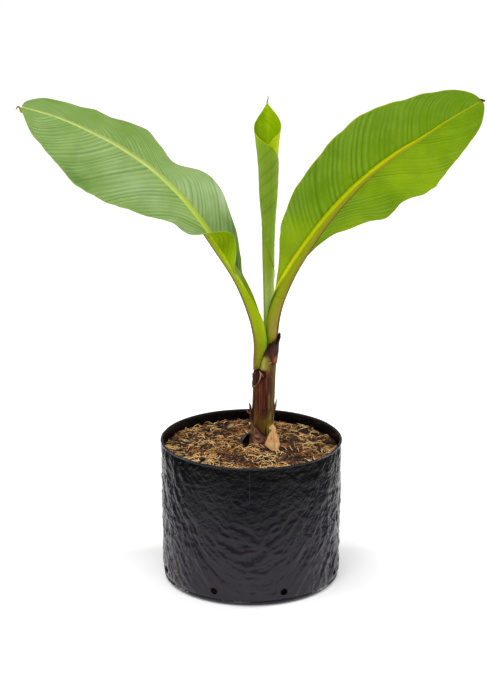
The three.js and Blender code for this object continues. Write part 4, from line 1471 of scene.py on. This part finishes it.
# ---- Rolled centre leaf ----
# The newest leaf stands behind the other two, still rolled like a cigar round its own rib.
# Its outer wrap opens at the top into a pointed hood, and a thread hangs on its tip.
ROLL_AXIS = (
    (21, 22, 300), (24.4, 30, 340), (24.4, 30, 379), (23.6, 30, 422), (22.8, 30, 464),
    (23, 30, 506), (23, 30, 547), (23, 30, 579), (22, 30, 612), (22, 30, 641))
ROLL_RADII = (7.5, 7.8, 7.8, 7.8, 8.0, 9.2, 12.1, 13.4, 15.6, 19)
ROLL_TOP, HOOD_TOP = 641, 669
# The core: how far along its grid its ends close, and the height there.
CORE_SHARES = (0, 0.02, 0.97, 1)
CORE_HEIGHTS = (296, 296, 598, 599)
WRAP_COLUMNS, WRAP_ROWS = 200, 150
WRAP_FROM, WRAP_TO = -120, 480  # the turn of the sheet, in degrees from +X, 90 at the back
# The height of the sheet's upper edge at every 30 degrees of its turn, and that of its lower
# edge, which sinks in a spiral once it is past the left side.
WRAP_TOP = (598, 618, 628, 634, 638, 650, 661, 671, 657, 645, 636, 630, 625, 619, 611, 600, 588,
            575, 563, 552, 545)
WRAP_FOOT = 503
WRAP_SPACING = 1.0
WRAP_FILM = 0.7
VEIN_CLIMB = 0.78  # how steeply the veins climb round the roll

roll_table = along(ROLL_AXIS, np.linspace(0, 1, 600))
roll_width = along(ROLL_RADII, np.linspace(0, 1, 600))


def roll_centre(height):
    """The roll's axis, which leans back into the hood's tip above its widest ring."""
    over = np.clip((height - ROLL_TOP) / (HOOD_TOP - ROLL_TOP), 0, 1)
    x = np.interp(height, roll_table[:, 2], roll_table[:, 0]) - over
    y = np.interp(height, roll_table[:, 2], roll_table[:, 1]) + 4.0 * over
    return x, y


def roll_radius(height):
    """The roll's radius, which shrinks again up the hood."""
    over = np.clip((height - ROLL_TOP) / (HOOD_TOP - ROLL_TOP), 0, 1.1)
    return np.interp(height, roll_table[:, 2], roll_width) - 9.0 * over ** 1.6


def core_place(u, v):
    height = np.interp(v, CORE_SHARES, CORE_HEIGHTS)
    radius = roll_radius(height) - 4.2 * smooth(height, 490, 530)
    turn = 2 * np.pi * u
    grain = 1 + 0.02 * lumps(ring(3, turn, height / 40), 1, 431)
    radius = radius * np.interp(v, CORE_SHARES, (0, 1, 1, 0)) * grain
    return into_sheath(ring(radius, turn, height, middle=roll_centre(height)), 0.4)


core = close_up(shape_grid("rolled_leaf_core", 48, 220, core_place))
points = piece_points(core)
height = points[:, 2]
core_turn = turn_round(points, roll_centre(height))
core_line = around(core_turn, -18, 16) * smooth(height, 390, 412) * smooth(-height, -462, -440)
paint_points(core, "tint", painted(
    points, (126, 148, 30),
    (smooth(height, 380, 440), (132, 156, 30)),
    ((1 - smooth(height, 320, 372)) * 0.8, (146, 152, 60)),
    (core_line, (206, 214, 4)),
    (near(height, 394, 30) * around(core_turn, -84, 70) * 0.75, (190, 206, 122)),
    (around(core_turn, -150, 30) * 0.4, (104, 132, 26))))
finish_piece(core, stalk_skin, "leaf_stalk", "rolled_leaf_stalk")


def wrap_edges(turn):
    """The heights of the sheet's lower and upper edge at a turn."""
    top = np.interp(turn, np.arange(WRAP_FROM, WRAP_TO + 1, 30), WRAP_TOP)
    return np.minimum(WRAP_FOOT - 0.40 * (turn - 180), WRAP_FOOT), top


def wrap_place(u, v):
    turn = WRAP_FROM + (WRAP_TO - WRAP_FROM) * u
    low, top = wrap_edges(turn)
    height = low + (top - low) * v
    radius = roll_radius(height) + 0.8 - (WRAP_TO - turn) / 360 * WRAP_SPACING
    # The foot of the sheet tightens on to the core.
    radius = radius - 0.2 * (1 - smooth(height - low, 0, 30))
    vein = height - VEIN_CLIMB * radius * np.radians(turn)
    radius = radius + 0.16 * mottle(vein / 5, 0 * u, 441) + 0.25 * mottle(turn / 40, height / 30, 443)
    return ring(radius, np.radians(turn), height, middle=roll_centre(height))


wrap = shape_grid("rolled_leaf_wrap", WRAP_COLUMNS, WRAP_ROWS, wrap_place)
wrap_u, wrap_v = grid_shares(WRAP_COLUMNS, WRAP_ROWS)
wrap_turn = WRAP_FROM + (WRAP_TO - WRAP_FROM) * wrap_u
wrap_low, wrap_top = wrap_edges(wrap_turn)
wrap_height = wrap_low + (wrap_top - wrap_low) * wrap_v
from_low, from_top = wrap_height - wrap_low, wrap_top - wrap_height
wrap_vein = wrap_height - VEIN_CLIMB * roll_radius(wrap_height) * np.radians(wrap_turn)
mark_points(wrap, "vein", wrap_vein)
wrap_pleat = lumps(table(wrap_vein, 0 * wrap_u), 4, 451)
mark_points(wrap, "pleat", 0.7 * wrap_pleat * (wrap_turn > 15))
mark_points(wrap, "across", 0 * wrap_u)
paint_points(wrap, "tint", painted(
    wrap_u, (134, 164, 50),
    ((1 - smooth(wrap_height, 500, 590)) * 0.6, (138, 168, 44)),
    (smooth(wrap_height, 590, 630) * 0.8, (134, 172, 6)),
    # Painted shade: the sheet's left side is a darker green.
    (around(wrap_turn, -120, 34) * 0.3, (96, 124, 30)),
    (1 - smooth(from_low, 0.6, 2.0), (110, 78, 36)),
    ((wrap_turn < 15) * smooth(wrap_height, 586, 600) * 0.9, (184, 204, 0)),
    ((1 - smooth(from_top, 0.5, 1.6)) * 0.8, (190, 186, 30)),
    ((1 - smooth(from_top, 0.5, 1.8)) * smooth(wrap_turn, 262, 300) * 0.9, (112, 84, 30))))
roll_outside = blade_finish(
    "rolled_underside", ((158, 184, 70), (92, 122, 20), (94, 124, 22), (176, 176, 36)),
    0.3, LEAF_MATT)
inner_gap = (wrap_turn - 90 + 180) % 360 - 180
# Painted light: the inside's colours are painted lighter than the leaf's own, to make up for the
# shade inside the hood.
paint_points(wrap, "other_tint", painted(
    wrap_u, (168, 202, 2),
    (smooth(np.abs(inner_gap), 30, 90) * 0.7, (140, 180, 2)),
    (near(inner_gap, -4, 6) * 0.5, (204, 224, 30)),
    (near(inner_gap, 24, 10) * 0.35, (134, 172, 4))))
# Its tones are raised the same way: painted light.
roll_inside = blade_finish(
    "rolled_upper_side", ((196, 220, 60), (128, 168, 2), (140, 178, 4), (176, 176, 36)),
    0.3, LEAF_MATT, "other_tint")
thicken(wrap, WRAP_FILM, both_sides=(roll_outside, roll_inside))
finish_piece(wrap, None, "rolled_leaf", "rolled_leaf", angle=80)
strand("rolled_tip_thread", "rolled_leaf", stalk_skin,
       [(21.5, 45, 667), (21.6, 45, 672), (22.6, 44.6, 676), (22.0, 44.2, 680)],
       (1.3, 0.9, 0.6, 0.35), [(150, 170, 40), (140, 130, 50), (104, 74, 40)], 461)
